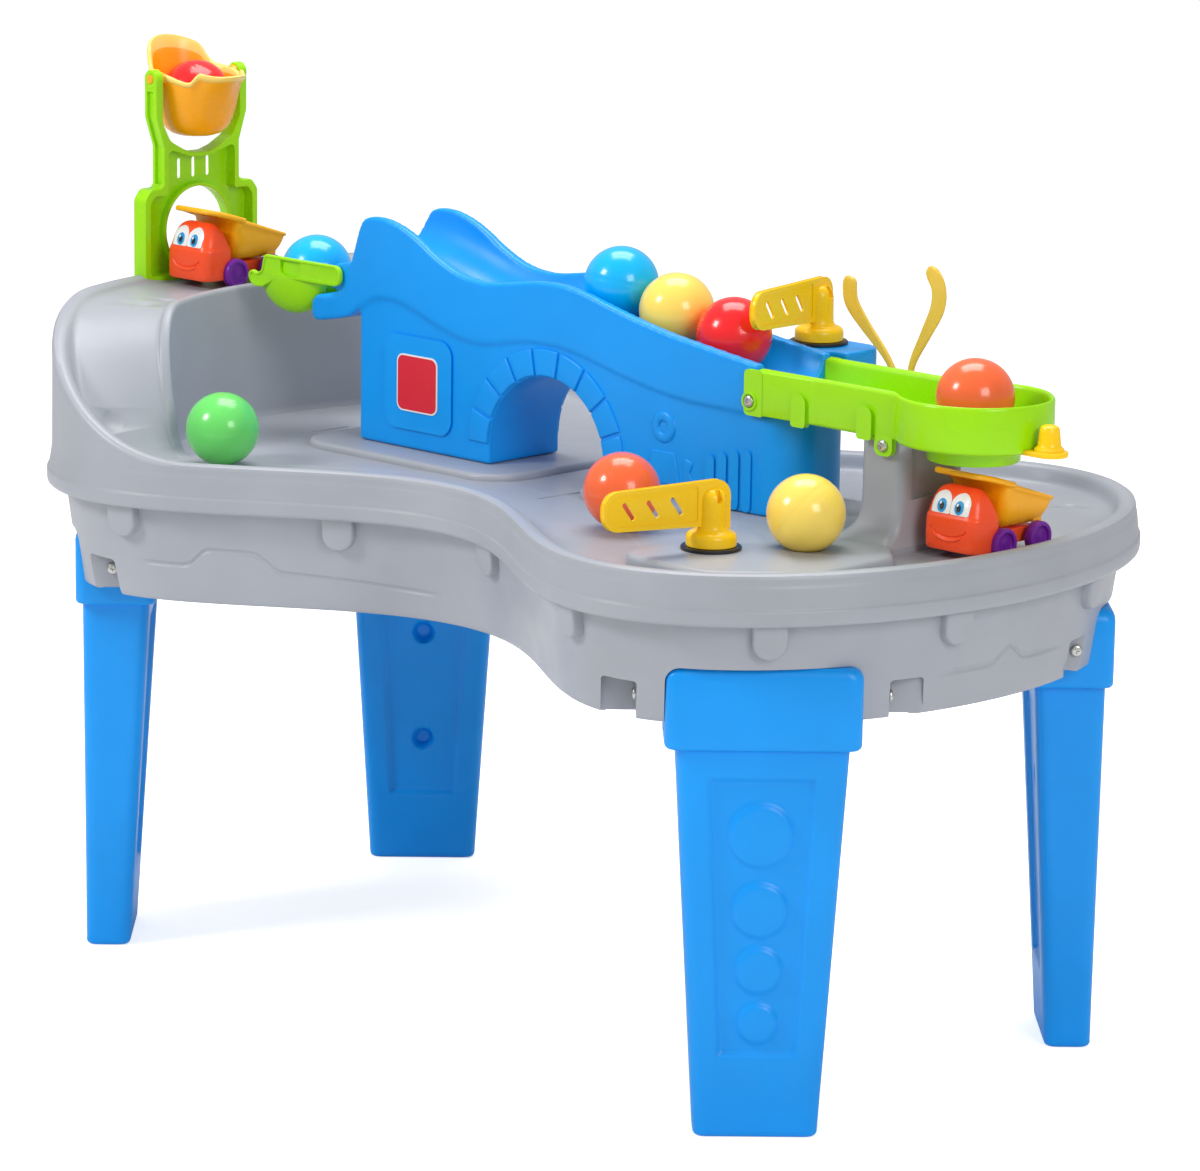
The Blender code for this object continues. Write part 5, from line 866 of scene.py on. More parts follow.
links.new(tint.outputs["Color"], shader.inputs["Base Color"])
links.new(gloss.outputs["Result"], shader.inputs["Roughness"])
shader.inputs["Metallic"].default_value = 1.0


def pan_screw(name, length, matrix):
    """The head's underside is at the place's origin, and the shank points the other way."""
    head = 0.0055
    profile = [
        (0, -length), (0.0012, -length + 0.001), (0.0024, -length + 0.003), (0.0024, -0.0001), (head, 0.0),
        (head, 0.0011), (head * 0.96, 0.0017), (head * 0.86, 0.0023), (head * 0.66, 0.0027), (0, 0.0029),
    ]
    screw = turned(name, profile, (0, 0, 0), steps=32)
    slots = []
    for half_x, half_y in ((0.0026, 0.00055), (0.00055, 0.0026)):
        outline = oblong(-half_x, -half_y, half_x, half_y)
        slots.append(slab("slot", outline, 0.0012, 0.0045, 0.0001, steps=1))
    slots.append(
        turned("slot", [(0, 0.0008), (0.0009, 0.0012), (0.0013, 0.0045), (0, 0.0045)], (0, 0, 0), steps=12)
    )
    carve(screw, join("slots", slots), crossing=True)
    screw.data.transform(matrix)
    return dress(settle(screw), steel, "table", [name.replace("_head", "")])


for label, matrix in legs:
    for side, letter in ((-1, "a"), (1, "b")):
        seat = matrix @ Matrix.Translation((side * (block_end + 0.0003), -0.033, 0.391))
        pan_screw(
            label + "_screw_" + letter + "_head", 0.036, seat @ Matrix.Rotation(side * math.pi / 2, 4, "Y"),
        )
for side, label in ((-1, "front"), (1, "back")):
    turn = Matrix.Rotation(-side * math.pi / 2, 4, "X")
    pan_screw("lap_screw_" + label + "_head", 0.007, Matrix.Translation((0.262, side * 0.0538, 0.608)) @ turn)
    pan_screw(
        "pillar_screw_" + label + "_head", 0.016, Matrix.Translation((0.418, side * 0.050, 0.589)) @ turn,
    )

# Hill: one hollow blue moulding with soft edges. A wavy half-pipe track runs over a block with a tunnel
# through it; the track stands 3 mm proud of the block. A shelf at the back carries the rear flipper.
hill_top = [
    (-0.262, 0.681), (-0.251, 0.711), (-0.238, 0.719), (-0.215, 0.719), (-0.192, 0.713), (-0.172, 0.704),
    (-0.147, 0.690), (-0.116, 0.678), (-0.082, 0.674), (-0.048, 0.678), (-0.014, 0.683), (0.015, 0.684),
    (0.046, 0.680), (0.079, 0.672), (0.118, 0.663), (0.160, 0.655), (0.197, 0.650), (0.235, 0.645),
    (0.268, 0.641),
]
hill_groove = [
    (0.268, 0.596), (0.230, 0.596), (0.199, 0.597), (0.165, 0.599), (0.129, 0.604), (0.080, 0.614),
    (0.040, 0.623),
    (0.000, 0.627), (-0.037, 0.624), (-0.067, 0.618), (-0.095, 0.616), (-0.120, 0.619), (-0.146, 0.626),
    (-0.182, 0.638), (-0.206, 0.643), (-0.231, 0.641), (-0.252, 0.630), (-0.270, 0.618), (-0.314, 0.609),
]
hill_horn = [
    (-0.320, 0.613), (-0.320, 0.629), (-0.314, 0.635), (-0.290, 0.637), (-0.274, 0.640), (-0.271, 0.652),
]
channel_floor = [
    (-0.300, 0.674), (-0.262, 0.673), (-0.218, 0.672), (-0.175, 0.663), (-0.130, 0.650), (-0.082, 0.643),
    (-0.048, 0.646), (0.010, 0.652), (0.046, 0.649), (0.118, 0.632), (0.197, 0.617), (0.268, 0.606),
    (0.310, 0.600),
]


def curve_value(points, x):
    """Reads a smooth curve through (x, value) points."""
    if x <= points[0][0]:
        return points[0][1]
    if x >= points[-1][0]:
        return points[-1][1]
    i = max(k for k in range(len(points) - 1) if points[k][0] <= x)
    x0, y0 = points[i]
    x1, y1 = points[i + 1]
    before = points[max(i - 1, 0)]
    after = points[min(i + 2, len(points) - 1)]
    slope0 = (y1 - before[1]) / (x1 - before[0])
    slope1 = (after[1] - y0) / (after[0] - x0)
    t = (x - x0) / (x1 - x0)
    span = x1 - x0
    return (
        (2 * t**3 - 3 * t**2 + 1) * y0 + (t**3 - 2 * t**2 + t) * span * slope0
        + (3 * t**2 - 2 * t**3) * y1 + (t**3 - t**2) * span * slope1
    )


def flowing(points, steps=4):
    """A smooth line through points, as many steps between each two of them."""
    line = []
    last = len(points) - 1
    for i in range(last):
        p0, p1, p2, p3 = (Vector(points[max(0, min(last, i + k))]) for k in (-1, 0, 1, 2))
        for k in range(steps):
            t = k / steps
            point = 0.5 * (
                2 * p1 + (p2 - p0) * t + (
                    2 * p0 - 5 * p1 + 4 * p2 - p3
                ) * t * t + (3 * p1 - p0 - 3 * p2 + p3) * t**3
            )
            line.append(tuple(point))
    line.append(tuple(points[-1]))
    return line


def bar(name, outline, low, high, axis="Y"):
    """A plain prism on an outline, for shapes that are softened later."""
    rows = []
    for height in (low, high):
        if axis == "Y":
            rows.append([(a, height, b) for a, b in outline])
        elif axis == "X":
            rows.append([(height, a, b) for a, b in outline])
        else:
            rows.append([(a, b, height) for a, b in outline])
    return skin(name, rows)


hill_foot_z = 0.5003
body_corners = oblong(-0.256, -0.047, 0.306, 0.047)
hill = bar("hill_moulding", rounded(body_corners, [0.006, 0.040, 0.040, 0.006], 14), hill_foot_z, 0.700, "Z")
groove_line = flowing(hill_groove)
over = [(x, z) for x, z in reversed(groove_line) if -0.262 < x]
over = [(-0.300, 0.622)] + over + [(0.268, 0.5948), (0.340, 0.5948), (0.340, 0.760), (-0.300, 0.760)]
carve(hill, bar("over", over, -0.090, 0.090))
band = bar("band", flowing(hill_top) + groove_line + hill_horn, -0.050, 0.050)
carve(hill, band, "UNION")
shelf_corners = [
    (0.186, 0.044), (0.255, 0.044), (0.255, 0.060), (0.278, 0.060), (0.278, 0.116), (0.186, 0.116),
]
carve(
    hill,
    bar("shelf", rounded(shelf_corners, [0.0, 0.0, 0.0, 0.003, 0.024, 0.026], 8), 0.6005, 0.6405, "Z"),
    "UNION",
)
ear_corners = [(-0.295, 0.645), (-0.250, 0.633), (-0.250, 0.675), (-0.288, 0.668)]
carve(hill, bar("ear", rounded(ear_corners, [0.004, 0.0, 0.0, 0.006], 6), -0.0493, -0.038), "UNION")
tunnel_radius = 0.075
tunnel_z = 0.519
arch = [(tunnel_radius, 0.480)]
for k in range(41):
    angle = math.pi * k / 40
    arch.append((tunnel_radius * math.cos(angle), tunnel_z + tunnel_radius * math.sin(angle)))
arch.append((-tunnel_radius, 0.480))
carve(hill, bar("tunnel", arch, -0.090, 0.090))
carve(hill, bar("step", oblong(0.060, 0.480, 0.330, 0.5033), -0.090, 0.090))
pipe_radius = 0.0405
pipe_rows = []
for k in range(129):
    x = -0.300 + 0.640 * k / 128
    low = curve_value(channel_floor, x)
    row = []
    for i in range(29):
        angle = math.pi * (1 + i / 28)
        row.append((x, pipe_radius * math.cos(angle), low + pipe_radius * (1 + math.sin(angle))))
    row += [(x, pipe_radius, low + 0.110), (x, -pipe_radius, low + 0.110)]
    pipe_rows.append(row)
carve(hill, skin("pipe", pipe_rows))


def remould(item, cell, passes):
    """Recasts a piece in small even faces and eases every edge, as a moulding comes from its tool."""
    hold(item)
    cast = item.modifiers.new("cast", "REMESH")
    cast.mode = "VOXEL"
    cast.voxel_size = cell
    bpy.ops.object.modifier_apply(modifier=cast.name)
    ease = item.modifiers.new("ease", "SMOOTH")
    ease.factor = 0.5
    ease.iterations = passes
    bpy.ops.object.modifier_apply(modifier=ease.name)
    return item


remould(hill, 0.0021, 5)
fittings = []
for side in (-1, 1):
    for k in range(9):
        start = math.pi / 9 * k + 0.018
        end = math.pi / 9 * (k + 1) - 0.018
        outline = []
        for radius, first, last in ((0.0765, start, end), (0.1020, end, start)):
            for step in range(7):
                angle = first + (last - first) * step / 6
                outline.append((radius * math.cos(angle), tunnel_z + radius * math.sin(angle)))
        low, high = sorted((side * 0.0440, side * 0.0494))
        fittings.append(slab("stone", outline[::-1], low, high, 0.0017, "Y"))
panel_corners = oblong(-0.215, 0.521, -0.127, 0.609)
fittings.append(slab("panel", rounded(panel_corners, 0.014, 10)[::-1], -0.0490, -0.0440, 0.0018, "Y"))
ring_profile = [
    (0.0045, -0.004), (0.0052, 0.0006), (0.0070, 0.0019), (0.0100, 0.0024), (0.0130, 0.0019),
    (0.0150, 0.0004), (0.0155, -0.004),
]
fittings.append(
    turned("eye_ring", ring_profile + [ring_profile[0]], (0.1513, -0.047, 0.5685), (0, -1, 0), 48)
)
plain_shapes = (
    [(0.1360, 0.5462), (0.1330, 0.5160), (0.1740, 0.5160), (0.1655, 0.5462)],
    [(0.1760, 0.5440), (0.1800, 0.5160), (0.1930, 0.5160), (0.1850, 0.5300), (0.1895, 0.5400)],
)
for shape in plain_shapes:
    fittings.append(slab("relief", rounded(shape, 0.003, 4), -0.0484, -0.0440, 0.0012, "Y"))
for x, top in ((0.2100, 0.5500), (0.2250, 0.5540), (0.2400, 0.5580), (0.2550, 0.5600)):
    shape = oblong(x - 0.0042, 0.5060, x + 0.0042, top)
    fittings.append(slab("flute", rounded(shape, 0.004, 5)[::-1], -0.0485, -0.0440, 0.0014, "Y"))
hill = join("hill_moulding", [hill] + fittings)
dress(settle(hill, 60), blue_plastic, "table", ["hill"])

# Label: a thin plain red plate with a white edge, stuck on the raised panel of the hill's front face.
red_print = moulded_plastic(
    "red_print", (0.74, 0.012, 0.035), (0.80, 0.10, 0.10), 0.30, 0.03, 1500.0, 0.02, 0.15, 0.2,
)
white_print = moulded_plastic(
    "white_print", (0.86, 0.86, 0.87), (0.93, 0.93, 0.93), 0.32, 0.02, 1500.0, 0.02, 0.1, 0.2,
)
label_corners = oblong(-0.1985, 0.5375, -0.1435, 0.5925)
edge_plate = slab("label_edge", rounded(label_corners, 0.008, 8)[::-1], -0.0500, -0.0493, 0.0002, "Y")
dress(settle(edge_plate), white_print, "table", [])
field_corners = oblong(-0.1970, 0.5390, -0.1450, 0.5910)
field = slab("label_field", rounded(field_corners, 0.0068, 8)[::-1], -0.0502, -0.0495, 0.0002, "Y")
dress(settle(field), red_print, "table", ["badge"])


# Outlet track: one glossy green moulding. A straight trough laps over the end of the hill, runs over the
# pillar and swells into a round bowl with a drop hole, a gate housing and a short chute below it.
outlet_top_z = 0.638
outlet_low_z = 0.595
bowl_x = 0.480


def outlet_plan(half, reach, fillet, start_x, steps=56):
    """Straight walls that flow into a round bowl."""
    turn_x = bowl_x - math.sqrt((reach + fillet) ** 2 - (half + fillet) ** 2)
    turn_y = -half - fillet
    meet = math.atan2(half + fillet, bowl_x - turn_x)
    side = [(start_x, -half)]
    for k in range(9):
        angle = math.pi / 2 - (math.pi / 2 - meet) * k / 8
        side.append((turn_x + fillet * math.cos(angle), turn_y + fillet * math.sin(angle)))
    arc = []
    for k in range(1, steps):
        angle = (math.pi - meet) * (2 * k / steps - 1)
        arc.append((bowl_x + reach * math.cos(angle), reach * math.sin(angle)))
    return side + arc + [(x, -y) for x, y in reversed(side)]


track = slab(
    "outlet_moulding", outlet_plan(0.050, 0.070, 0.014, 0.2683), outlet_low_z, outlet_top_z, 0.0038,
    steps=5,
)
trough_rows = []
for half, reach, z in (
    (0.0290, 0.0540, 0.6020), (0.0320, 0.0565, 0.6023), (0.0352, 0.0595, 0.6034), (0.0378, 0.0622, 0.6053),
    (0.0394, 0.0639, 0.6082),
    (0.0402, 0.0647, 0.6120), (0.0405, 0.0650, 0.6180), (0.0409, 0.0654, 0.6330), (0.0413, 0.0658, 0.6350),
    (0.0423, 0.0668, 0.6365),
    (0.0438, 0.0683, 0.6375), (0.0452, 0.0697, 0.6379), (0.0470, 0.0715, 0.6420),
):
    trough_rows.append([(x, y, z) for x, y in outlet_plan(half, reach, 0.014 + 0.050 - half, 0.235)])
carve(track, skin("trough", trough_rows))

bowl_hole = turned(
    "bowl_hole",
    [(0, 0.570), (0.0375, 0.570), (0.0375, 0.6012), (0.0390, 0.6024), (0.0390, 0.612), (0, 0.612)],
    (bowl_x, 0, 0), steps=72,
)
carve(track, bowl_hole)
housing = turned("housing", [
    (0.0376, 0.5802), (0.0382, 0.5798), (0.0404, 0.5798), (0.0412, 0.5806), (0.0416, 0.5930),
    (0.0426, 0.5948), (0.0440, 0.5954),
    (0.0440, 0.5980), (0.0376, 0.5980), (0.0376, 0.5802),
], (bowl_x, 0, 0), steps=72)
track = join("outlet_moulding", [track, housing])
gate_slot = oblong(0.454, -0.0153, 0.575, 0.0153)
carve(track, slab("gate_slot", gate_slot, 0.5942, 0.5993, 0.0001, steps=1), crossing=True)

details = []
for side in (-1, 1):
    low, high = sorted((side * 0.0503, side * 0.0535))
    lap = oblong(0.2560, 0.5960, 0.2760, 0.6360)
    details.append(slab("lap", rounded(lap, [0.004, 0.001, 0.001, 0.004], 6)[::-1], low, high, 0.0010, "Y"))
    root = [
        (0.2687, side * 0.0470), (0.3380, side * 0.0470), (0.3380, side * 0.0499), (0.2790, side * 0.0531),
        (0.2687, side * 0.0531),
    ]
    details.append(slab("lap_root", root if side > 0 else root[::-1], 0.5960, 0.6360, 0.0012))
    boss = [
        (0.0062, -0.001), (0.0088, -0.001), (0.0088, 0.0012), (0.0082, 0.0018), (0.0070, 0.0018),
        (0.0062, 0.0012), (0.0062, -0.001),
    ]
    details.append(turned("lap_boss", boss, (0.262, side * 0.0535, 0.608), (0, side, 0), 40))
    low, high = sorted((side * 0.0443, side * 0.0499))
    tab = oblong(0.4085, 0.5805, 0.4275, 0.5990)
    details.append(slab("pillar_tab", rounded(tab, [0.006, 0.006, 0, 0], 8)[::-1], low, high, 0.0008, "Y"))
    for x in (0.320, 0.398):
        low, high = sorted((side * 0.0470, side * 0.0535))
        rib = oblong(x - 0.0062, 0.5945, x + 0.0062, 0.6200)
        details.append(
            slab("rib", rounded(rib, [0.0010, 0.0010, 0.0060, 0.0060], 8)[::-1], low, high, 0.0024, "Y")
        )
fork_boss = [
    (0, -0.002), (0.0085, -0.002), (0.0085, 0.0015), (0.0074, 0.004), (0.0070, 0.008), (0.0070, 0.0388),
    (0.0066, 0.0397),
    (0.0035, 0.0397), (0.0035, 0.0505), (0.0030, 0.0518), (0, 0.0520),
]
details.append(turned("fork_boss", fork_boss, (0.320, 0.050, 0.604), (0, 1, 0), 36))
track = join("outlet_moulding", [track] + details)
dress(settle(track, 32), green_plastic, "table", ["outlet_track"])

# Drop gate: a yellow slide in the housing under the bowl, with a hat-shaped knob on its rounded end.
gate_corners = oblong(0.458, -0.015, 0.5815, 0.015)
gate = slab(
    "drop_gate_plate", rounded(gate_corners, [0.006, 0.0145, 0.0145, 0.006], 12), 0.5945, 0.5990, 0.0008,
)
knob_profile = [
    (0, 0.5965), (0.0128, 0.5965), (0.0132, 0.6000), (0.0128, 0.6016), (0.0114, 0.6026), (0.0104, 0.6040),
    (0.0099, 0.6080),
    (0.0092, 0.6150), (0.0088, 0.6180), (0.0077, 0.6203), (0.0052, 0.6216), (0.0026, 0.6220), (0, 0.6220),
]
gate = join("drop_gate_plate", [gate, turned("gate_knob", knob_profile, (0.5645, 0, 0), steps=48)])
dress(settle(gate), yellow_plastic, "drop_gate", ["drop_gate"])

# Flippers: two yellow paddles, each on a post that turns on a shouldered screw put in from below, over a thin
# black disc. One stands in front of the hill, the other on the hill's shelf.
# Near black, used only for the thin disc laid under each flipper post.
black_plastic = moulded_plastic(
    "black_plastic", (0.012, 0.012, 0.013), (0.07, 0.07, 0.07), 0.36, 0.2, 900.0, 0.08, 0.5,
)
post_profile = [
    (0, 0), (0.0222, 0), (0.0225, 0.0004), (0.0225, 0.0070), (0.0220, 0.0094), (0.0206, 0.0112),
    (0.0186, 0.0124), (0.0158, 0.0133),
    (0.0142, 0.0146), (0.0133, 0.0170), (0.0129, 0.0220), (0.0127, 0.0390), (0.0122, 0.0432),
    (0.0109, 0.0468), (0.0085, 0.0492),
    (0.0050, 0.0505), (0, 0.0509),
]
ring_profile = [
    (0.0045, 0), (0.0264, 0), (0.0270, 0.0006), (0.0270, 0.0018), (0.0262, 0.0028), (0.0250, 0.0030),
    (0.0045, 0.0030), (0.0045, 0),
]


def flipper(name, x, y, base_z, angle, screw_name, screw_low_z):
    """A slotted paddle on its post, the black ring under it and the screw that it turns on."""
    paddle_line = [
        (-0.0165, 0.0115), (0.0118, 0.0115), (0.0118, 0.0190), (0.113, 0.023), (0.113, 0.055),
        (-0.0165, 0.057),
    ]
    paddle_line = rounded(paddle_line, [0.001, 0.001, 0.002, 0.014, 0.014, 0.014], 10)
    paddle = slab("paddle", paddle_line[::-1], -0.0030, 0.0030, 0.0013, "Y")
    field_line = [(0.0165, 0.0222), (0.1104, 0.0257), (0.1104, 0.0524), (0.0165, 0.0540)]
    field_line = rounded(field_line, [0.003, 0.0115, 0.0115, 0.003], 8)[::-1]
    for low, high in ((0.0022, 0.008), (-0.008, -0.0002)):
        carve(paddle, slab("field", field_line, low, high, 0.0004, "Y"))
    for middle in (0.038, 0.063, 0.088):
        slant = [
            (middle - 0.0080, 0.0310), (middle - 0.0035, 0.0290), (middle + 0.0080, 0.0450),
            (middle + 0.0035, 0.0470),
        ]
        carve(paddle, slab("slot", rounded(slant, 0.0020, 5)[::-1], -0.010, 0.010, 0.0002, "Y", steps=1))
    post = turned("post", post_profile, (0, 0, 0), steps=56)
    for side in (-1, 1):
        notch = oblong(-0.0028, 0.0385, 0.0028, 0.0600)
        low, high = sorted((side * 0.0062, side * 0.020))
        carve(post, slab("notch", rounded(notch, [0.0027, 0.0027, 0, 0], 6)[::-1], low, high, 0.0005, "Y"))
    item = join(name + "_moulding", [post, paddle])
    item.data.transform(
        Matrix.Translation((x, y, base_z + 0.0036)) @ Matrix.Rotation(math.radians(angle), 4, "Z")
    )
    dress(settle(item), yellow_plastic, name, [name])
    # A thin black disc, a little wider than the post's foot, laid under the post.
    ring = turned(name + "_black_disc", ring_profile, (x, y, base_z + 0.0003), steps=64)
    dress(settle(ring), black_plastic, "table", [name + "_ring"])
    top = base_z + 0.023
    screw_profile = [
        (0, screw_low_z), (0.0048, screw_low_z), (0.0062, screw_low_z + 0.0006),
        (0.0070, screw_low_z + 0.0018),
        (0.0070, screw_low_z + 0.0030), (0.0040, screw_low_z + 0.0030), (0.0040, top - 0.002),
        (0.0030, top), (0, top),
    ]
    screw = turned(screw_name + "_shank", screw_profile, (x, y, 0), steps=32)
    for half_x, half_y in ((0.0034, 0.0007), (0.0007, 0.0034)):
        cross = oblong(-half_x, -half_y, half_x, half_y)
        tool = slab(
            "cross", [
                (x + a, y + b) for a, b in cross
            ], screw_low_z - 0.002, screw_low_z + 0.0016, 0.0001, steps=1
        )
        carve(screw, tool)
    dress(settle(screw), steel, "table", [screw_name])


flipper("front_flipper", 0.338, -0.183, 0.503, 257.0, "front_pivot_screw", 0.4817)
flipper("rear_flipper", 0.222, 0.084, 0.6405, 279.5, "rear_pivot_screw", 0.5972)

# Fork: two leaf-shaped tines of clear yellow plastic on one hub, hinged on a peg behind the outlet track.
clear_yellow = moulded_plastic(
    "clear_yellow_plastic", (1.0, 0.68, 0.10), (1.0, 0.82, 0.3), 0.22, 0.04, 1200.0, 0.03, 0.2,
)
clear_yellow.node_tree.nodes["Principled BSDF"].inputs["Transmission Weight"].default_value = 0.25
clear_yellow.node_tree.nodes["Principled BSDF"].inputs["IOR"].default_value = 1.49


fork_x = 0.320
fork_y = 0.095
fork_z = 0.604


def tine(points):
    """One leaf-shaped tine, dished on its front, that rises from the hub along points."""
    line = flowing(points, 8)
    count = len(line) - 1
    rows = []
    for i, (x, z) in enumerate(line):
        share = i / count
        before = Vector(line[max(i - 1, 0)])
        after = Vector(line[min(i + 1, count)])
        along = (after - before).normalized()
        tip = max(0.0, (share - 0.86) / 0.14)
        half = (0.0031 + 0.0050 * smooth_rise((share - 0.22) / 0.52)) * math.sqrt(max(0.02, 1 - tip ** 2.4))
        thick = 0.0024 * math.sqrt(max(0.05, 1 - tip ** 2.4))
        dish = 0.0019 * math.sin(math.pi * share ** 1.6) ** 2
        row = []
        for k in range(20):
            angle = 2 * math.pi * k / 20
            wide = math.copysign(abs(math.cos(angle)) ** 0.8, math.cos(angle))
            deep = math.copysign(abs(math.sin(angle)) ** 0.6, math.sin(angle))
            y = fork_y + thick * deep
            if deep < 0:
                y += dish * (1 - wide * wide)
            row.append((fork_x + x + along.y * half * wide, y, fork_z + z - along.x * half * wide))
        rows.append(row)
    return skin("tine", rows)


left_line = [
    (0.0, 0.0), (-0.0120, 0.0140), (-0.0270, 0.0340), (-0.0520, 0.0580), (-0.0680, 0.0760),
    (-0.0715, 0.0900), (-0.0700, 0.1010),
]
right_line = [
    (0.0, 0.0), (0.0030, 0.0160), (0.0080, 0.0340), (0.0220, 0.0600), (0.0340, 0.0840), (0.0340, 0.1040),
    (0.0220, 0.1200),
]
hub_profile = [
    (0.0039, 0.0), (0.0082, 0.0), (0.0090, 0.0008), (0.0090, 0.0092), (0.0082, 0.0100), (0.0039, 0.0100),
    (0.0039, 0.0),
]
fork = join(
    "fork_tines",
    [
        turned("fork_hub", hub_profile, (fork_x, fork_y - 0.005, fork_z), (0, 1, 0), 40), tine(left_line),
        tine(right_line),
    ],
)
dress(settle(fork, 50), clear_yellow, "fork", ["fork"])

# Tower: a green plate with a deep border, a round hole and three slots, clipped over the rim of the raised
# deck. Two channel-shaped arms end in round eyes that carry the bucket.
tower_x = -0.531
tower_y = -0.012
pivot_z = 0.8263
hole_z = 0.6733
half_tower = [
    (0.075, 0.6233, 0.003), (0.075, 0.7073, 0.010), (0.067, 0.7173, 0.008), (0.050, 0.7173, 0.006),
    (0.050, 0.7583, 0.010),
    (0.054, 0.7703, 0.020), (0.060, 0.7883, 0.010), (0.060, pivot_z, 0.0), (0.051, pivot_z, 0.0),
    (0.051, 0.7823, 0.015),
    (0.041, 0.7638, 0.014), (0.023, 0.7543, 0.014), (0.010, 0.7503, 0.010),
]


def mirrored(half, steps):
    """A rounded outline drawn as (y, z, radius) for one half of the tower and mirrored to the other."""
    whole = [(tower_y + y, z, r) for y, z, r in half] + [(tower_y - y, z, r) for y, z, r in reversed(half)]
    return rounded([point[:2] for point in whole], [point[2] for point in whole], steps)


tower_line = mirrored(half_tower, 8)
tower = slab("tower_moulding", tower_line, tower_x - 0.009, tower_x + 0.009, 0.0010, "X")
half_field = [
    (0.068, 0.6303, 0.004), (0.068, 0.7030, 0.008), (0.062, 0.7103, 0.006), (0.044, 0.7103, 0.003),
    (0.044, 0.7560, 0.005), (0.030, 0.7520, 0.008),
    (0.012, 0.7462, 0.006),
]
field_line = mirrored(half_field, 6)
carve(tower, slab("field", field_line, tower_x - 0.004, tower_x + 0.020, 0.0008, "X"))
back_field = oblong(-0.040, 0.7200, 0.040, 0.7470)
back_field = rounded([(tower_y + y, z) for y, z in back_field], 0.003, 4)
carve(tower, slab("back_field", back_field, tower_x - 0.020, tower_x - 0.0062, 0.0003, "X"))
for side in (-1, 1):
    arm = [
        (0.0470, 0.7210), (0.0700, 0.7210), (0.0700, 0.8140), (0.0570, 0.8140), (0.0570, 0.7890),
        (0.0512, 0.7710), (0.0470, 0.7590),
    ]
    arm = [(tower_y + side * y, z) for y, z in arm]
    carve(
        tower,
        slab("arm_channel", arm if side > 0 else arm[::-1], tower_x - 0.0052, tower_x + 0.0040, 0.0006, "X"),
    )
    eye_profile = [
        (0, -0.0048), (0.0084, -0.0048), (0.0094, -0.0038), (0.0094, 0.0038), (0.0084, 0.0048), (0, 0.0048),
    ]
    eye = turned("eye", eye_profile, (tower_x, tower_y + side * 0.0555, pivot_z), (0, 1, 0), 48)
    carve(tower, eye, "UNION")
ring = [
    (0.0420, -0.0090), (0.0455, -0.0090), (0.0455, 0.0020), (0.0450, 0.0030), (0.0432, 0.0034),
    (0.0420, 0.0028), (0.0420, -0.0090),
]
hole_rim = turned("hole_rim", ring, (tower_x, tower_y, hole_z), (1, 0, 0), 80)
tools = [turned("hole", oblong(0, -0.03, 0.0422, 0.03), (tower_x, tower_y, hole_z), (1, 0, 0), 80)]
for offset in (-0.019, 0.0, 0.019):
    y = tower_y + offset
    slot = oblong(y - 0.0026, 0.7235, y + 0.0026, 0.7441)
    tools.append(slab("slot", rounded(slot, 0.0025, 6), tower_x - 0.02, tower_x + 0.02, 0.0002, "X", steps=1))
tools.append(turned("eyes", oblong(0, -0.10, 0.0049, 0.10), (tower_x, tower_y, pivot_z), (0, 1, 0), 32))
carve(tower, join("tower_tools", tools))
tower = join("tower_moulding", [tower, hole_rim])
dress(settle(tower, 30), green_plastic, "table", ["tower"])

# Bucket: a thin yellow-orange cup with a rolled rim, a high hood at the back, a spout in front and two pins
# that turn in the eyes of the tower's arms.
amber_plastic = moulded_plastic(
    "amber_plastic", (1.0, 0.40, 0.003), (1.0, 0.62, 0.14), 0.27, 0.04, 1200.0, 0.04, 0.5,
)
bucket_rim = [
    (0, 0.0055), (10, 0.0042), (22, 0.0032), (32, 0.0046), (38, 0.0058), (43, 0.0020), (48, -0.0030),
    (54, -0.0034), (64, -0.0012),
    (76, 0.0020), (90, 0.0045), (105, 0.0060), (117, 0.0085), (124, 0.0150), (131, 0.0238), (138, 0.0282),
    (150, 0.0318),
    (165, 0.0348), (180, 0.0358),
]
bucket_spout = [
    (0, 0.0235), (6, 0.0215), (14, 0.0165), (24, 0.0095), (33, 0.0038), (40, 0.0008), (48, 0.0), (180, 0.0),
]


def bucket_row(radius, height, share, steps=144):
    """One ring of the bucket; share says how far it takes part in the rim's rise and the spout."""
    row = []
    for i in range(steps):
        angle = 2 * math.pi * i / steps
        turn = math.degrees(math.pi - abs(angle - math.pi))
        reach = radius + curve_value(bucket_spout, turn) * share ** 2 + max(
            0.0, -math.cos(angle),
        ) ** 2 * 0.004 * share
        lift = curve_value(bucket_rim, turn) * share
        row.append(
            (tower_x + reach * math.cos(angle), tower_y + radius * math.sin(angle), pivot_z + height + lift)
        )
    return row


cup = (
    (0.0020, -0.0600, 0), (0.0110, -0.0600, 0), (0.0180, -0.0592, 0), (0.0245, -0.0571, 0),
    (0.0300, -0.0532, 0), (0.0340, -0.0478, 0),
    (0.0368, -0.0410, 0), (0.0392, -0.0330, 0.06), (0.0411, -0.0250, 0.16), (0.0428, -0.0170, 0.34),
    (0.0440, -0.0110, 0.54),
    (0.0447, -0.0070, 0.70), (0.0450, -0.0045, 0.80),
)
cup_inner = (
    (0.0426, -0.0040, 0.80), (0.0419, -0.0070, 0.70), (0.0410, -0.0110, 0.54), (0.0399, -0.0170, 0.34),
    (0.0383, -0.0250, 0.16), (0.0364, -0.0330, 0.06),
    (0.0338, -0.0408, 0), (0.0306, -0.0462, 0), (0.0266, -0.0508, 0), (0.0216, -0.0538, 0),
    (0.0160, -0.0550, 0), (0.0020, -0.0550, 0),
)
bucket = skin("bucket_moulding", [bucket_row(*level) for level in cup + cup_inner])
pins = []
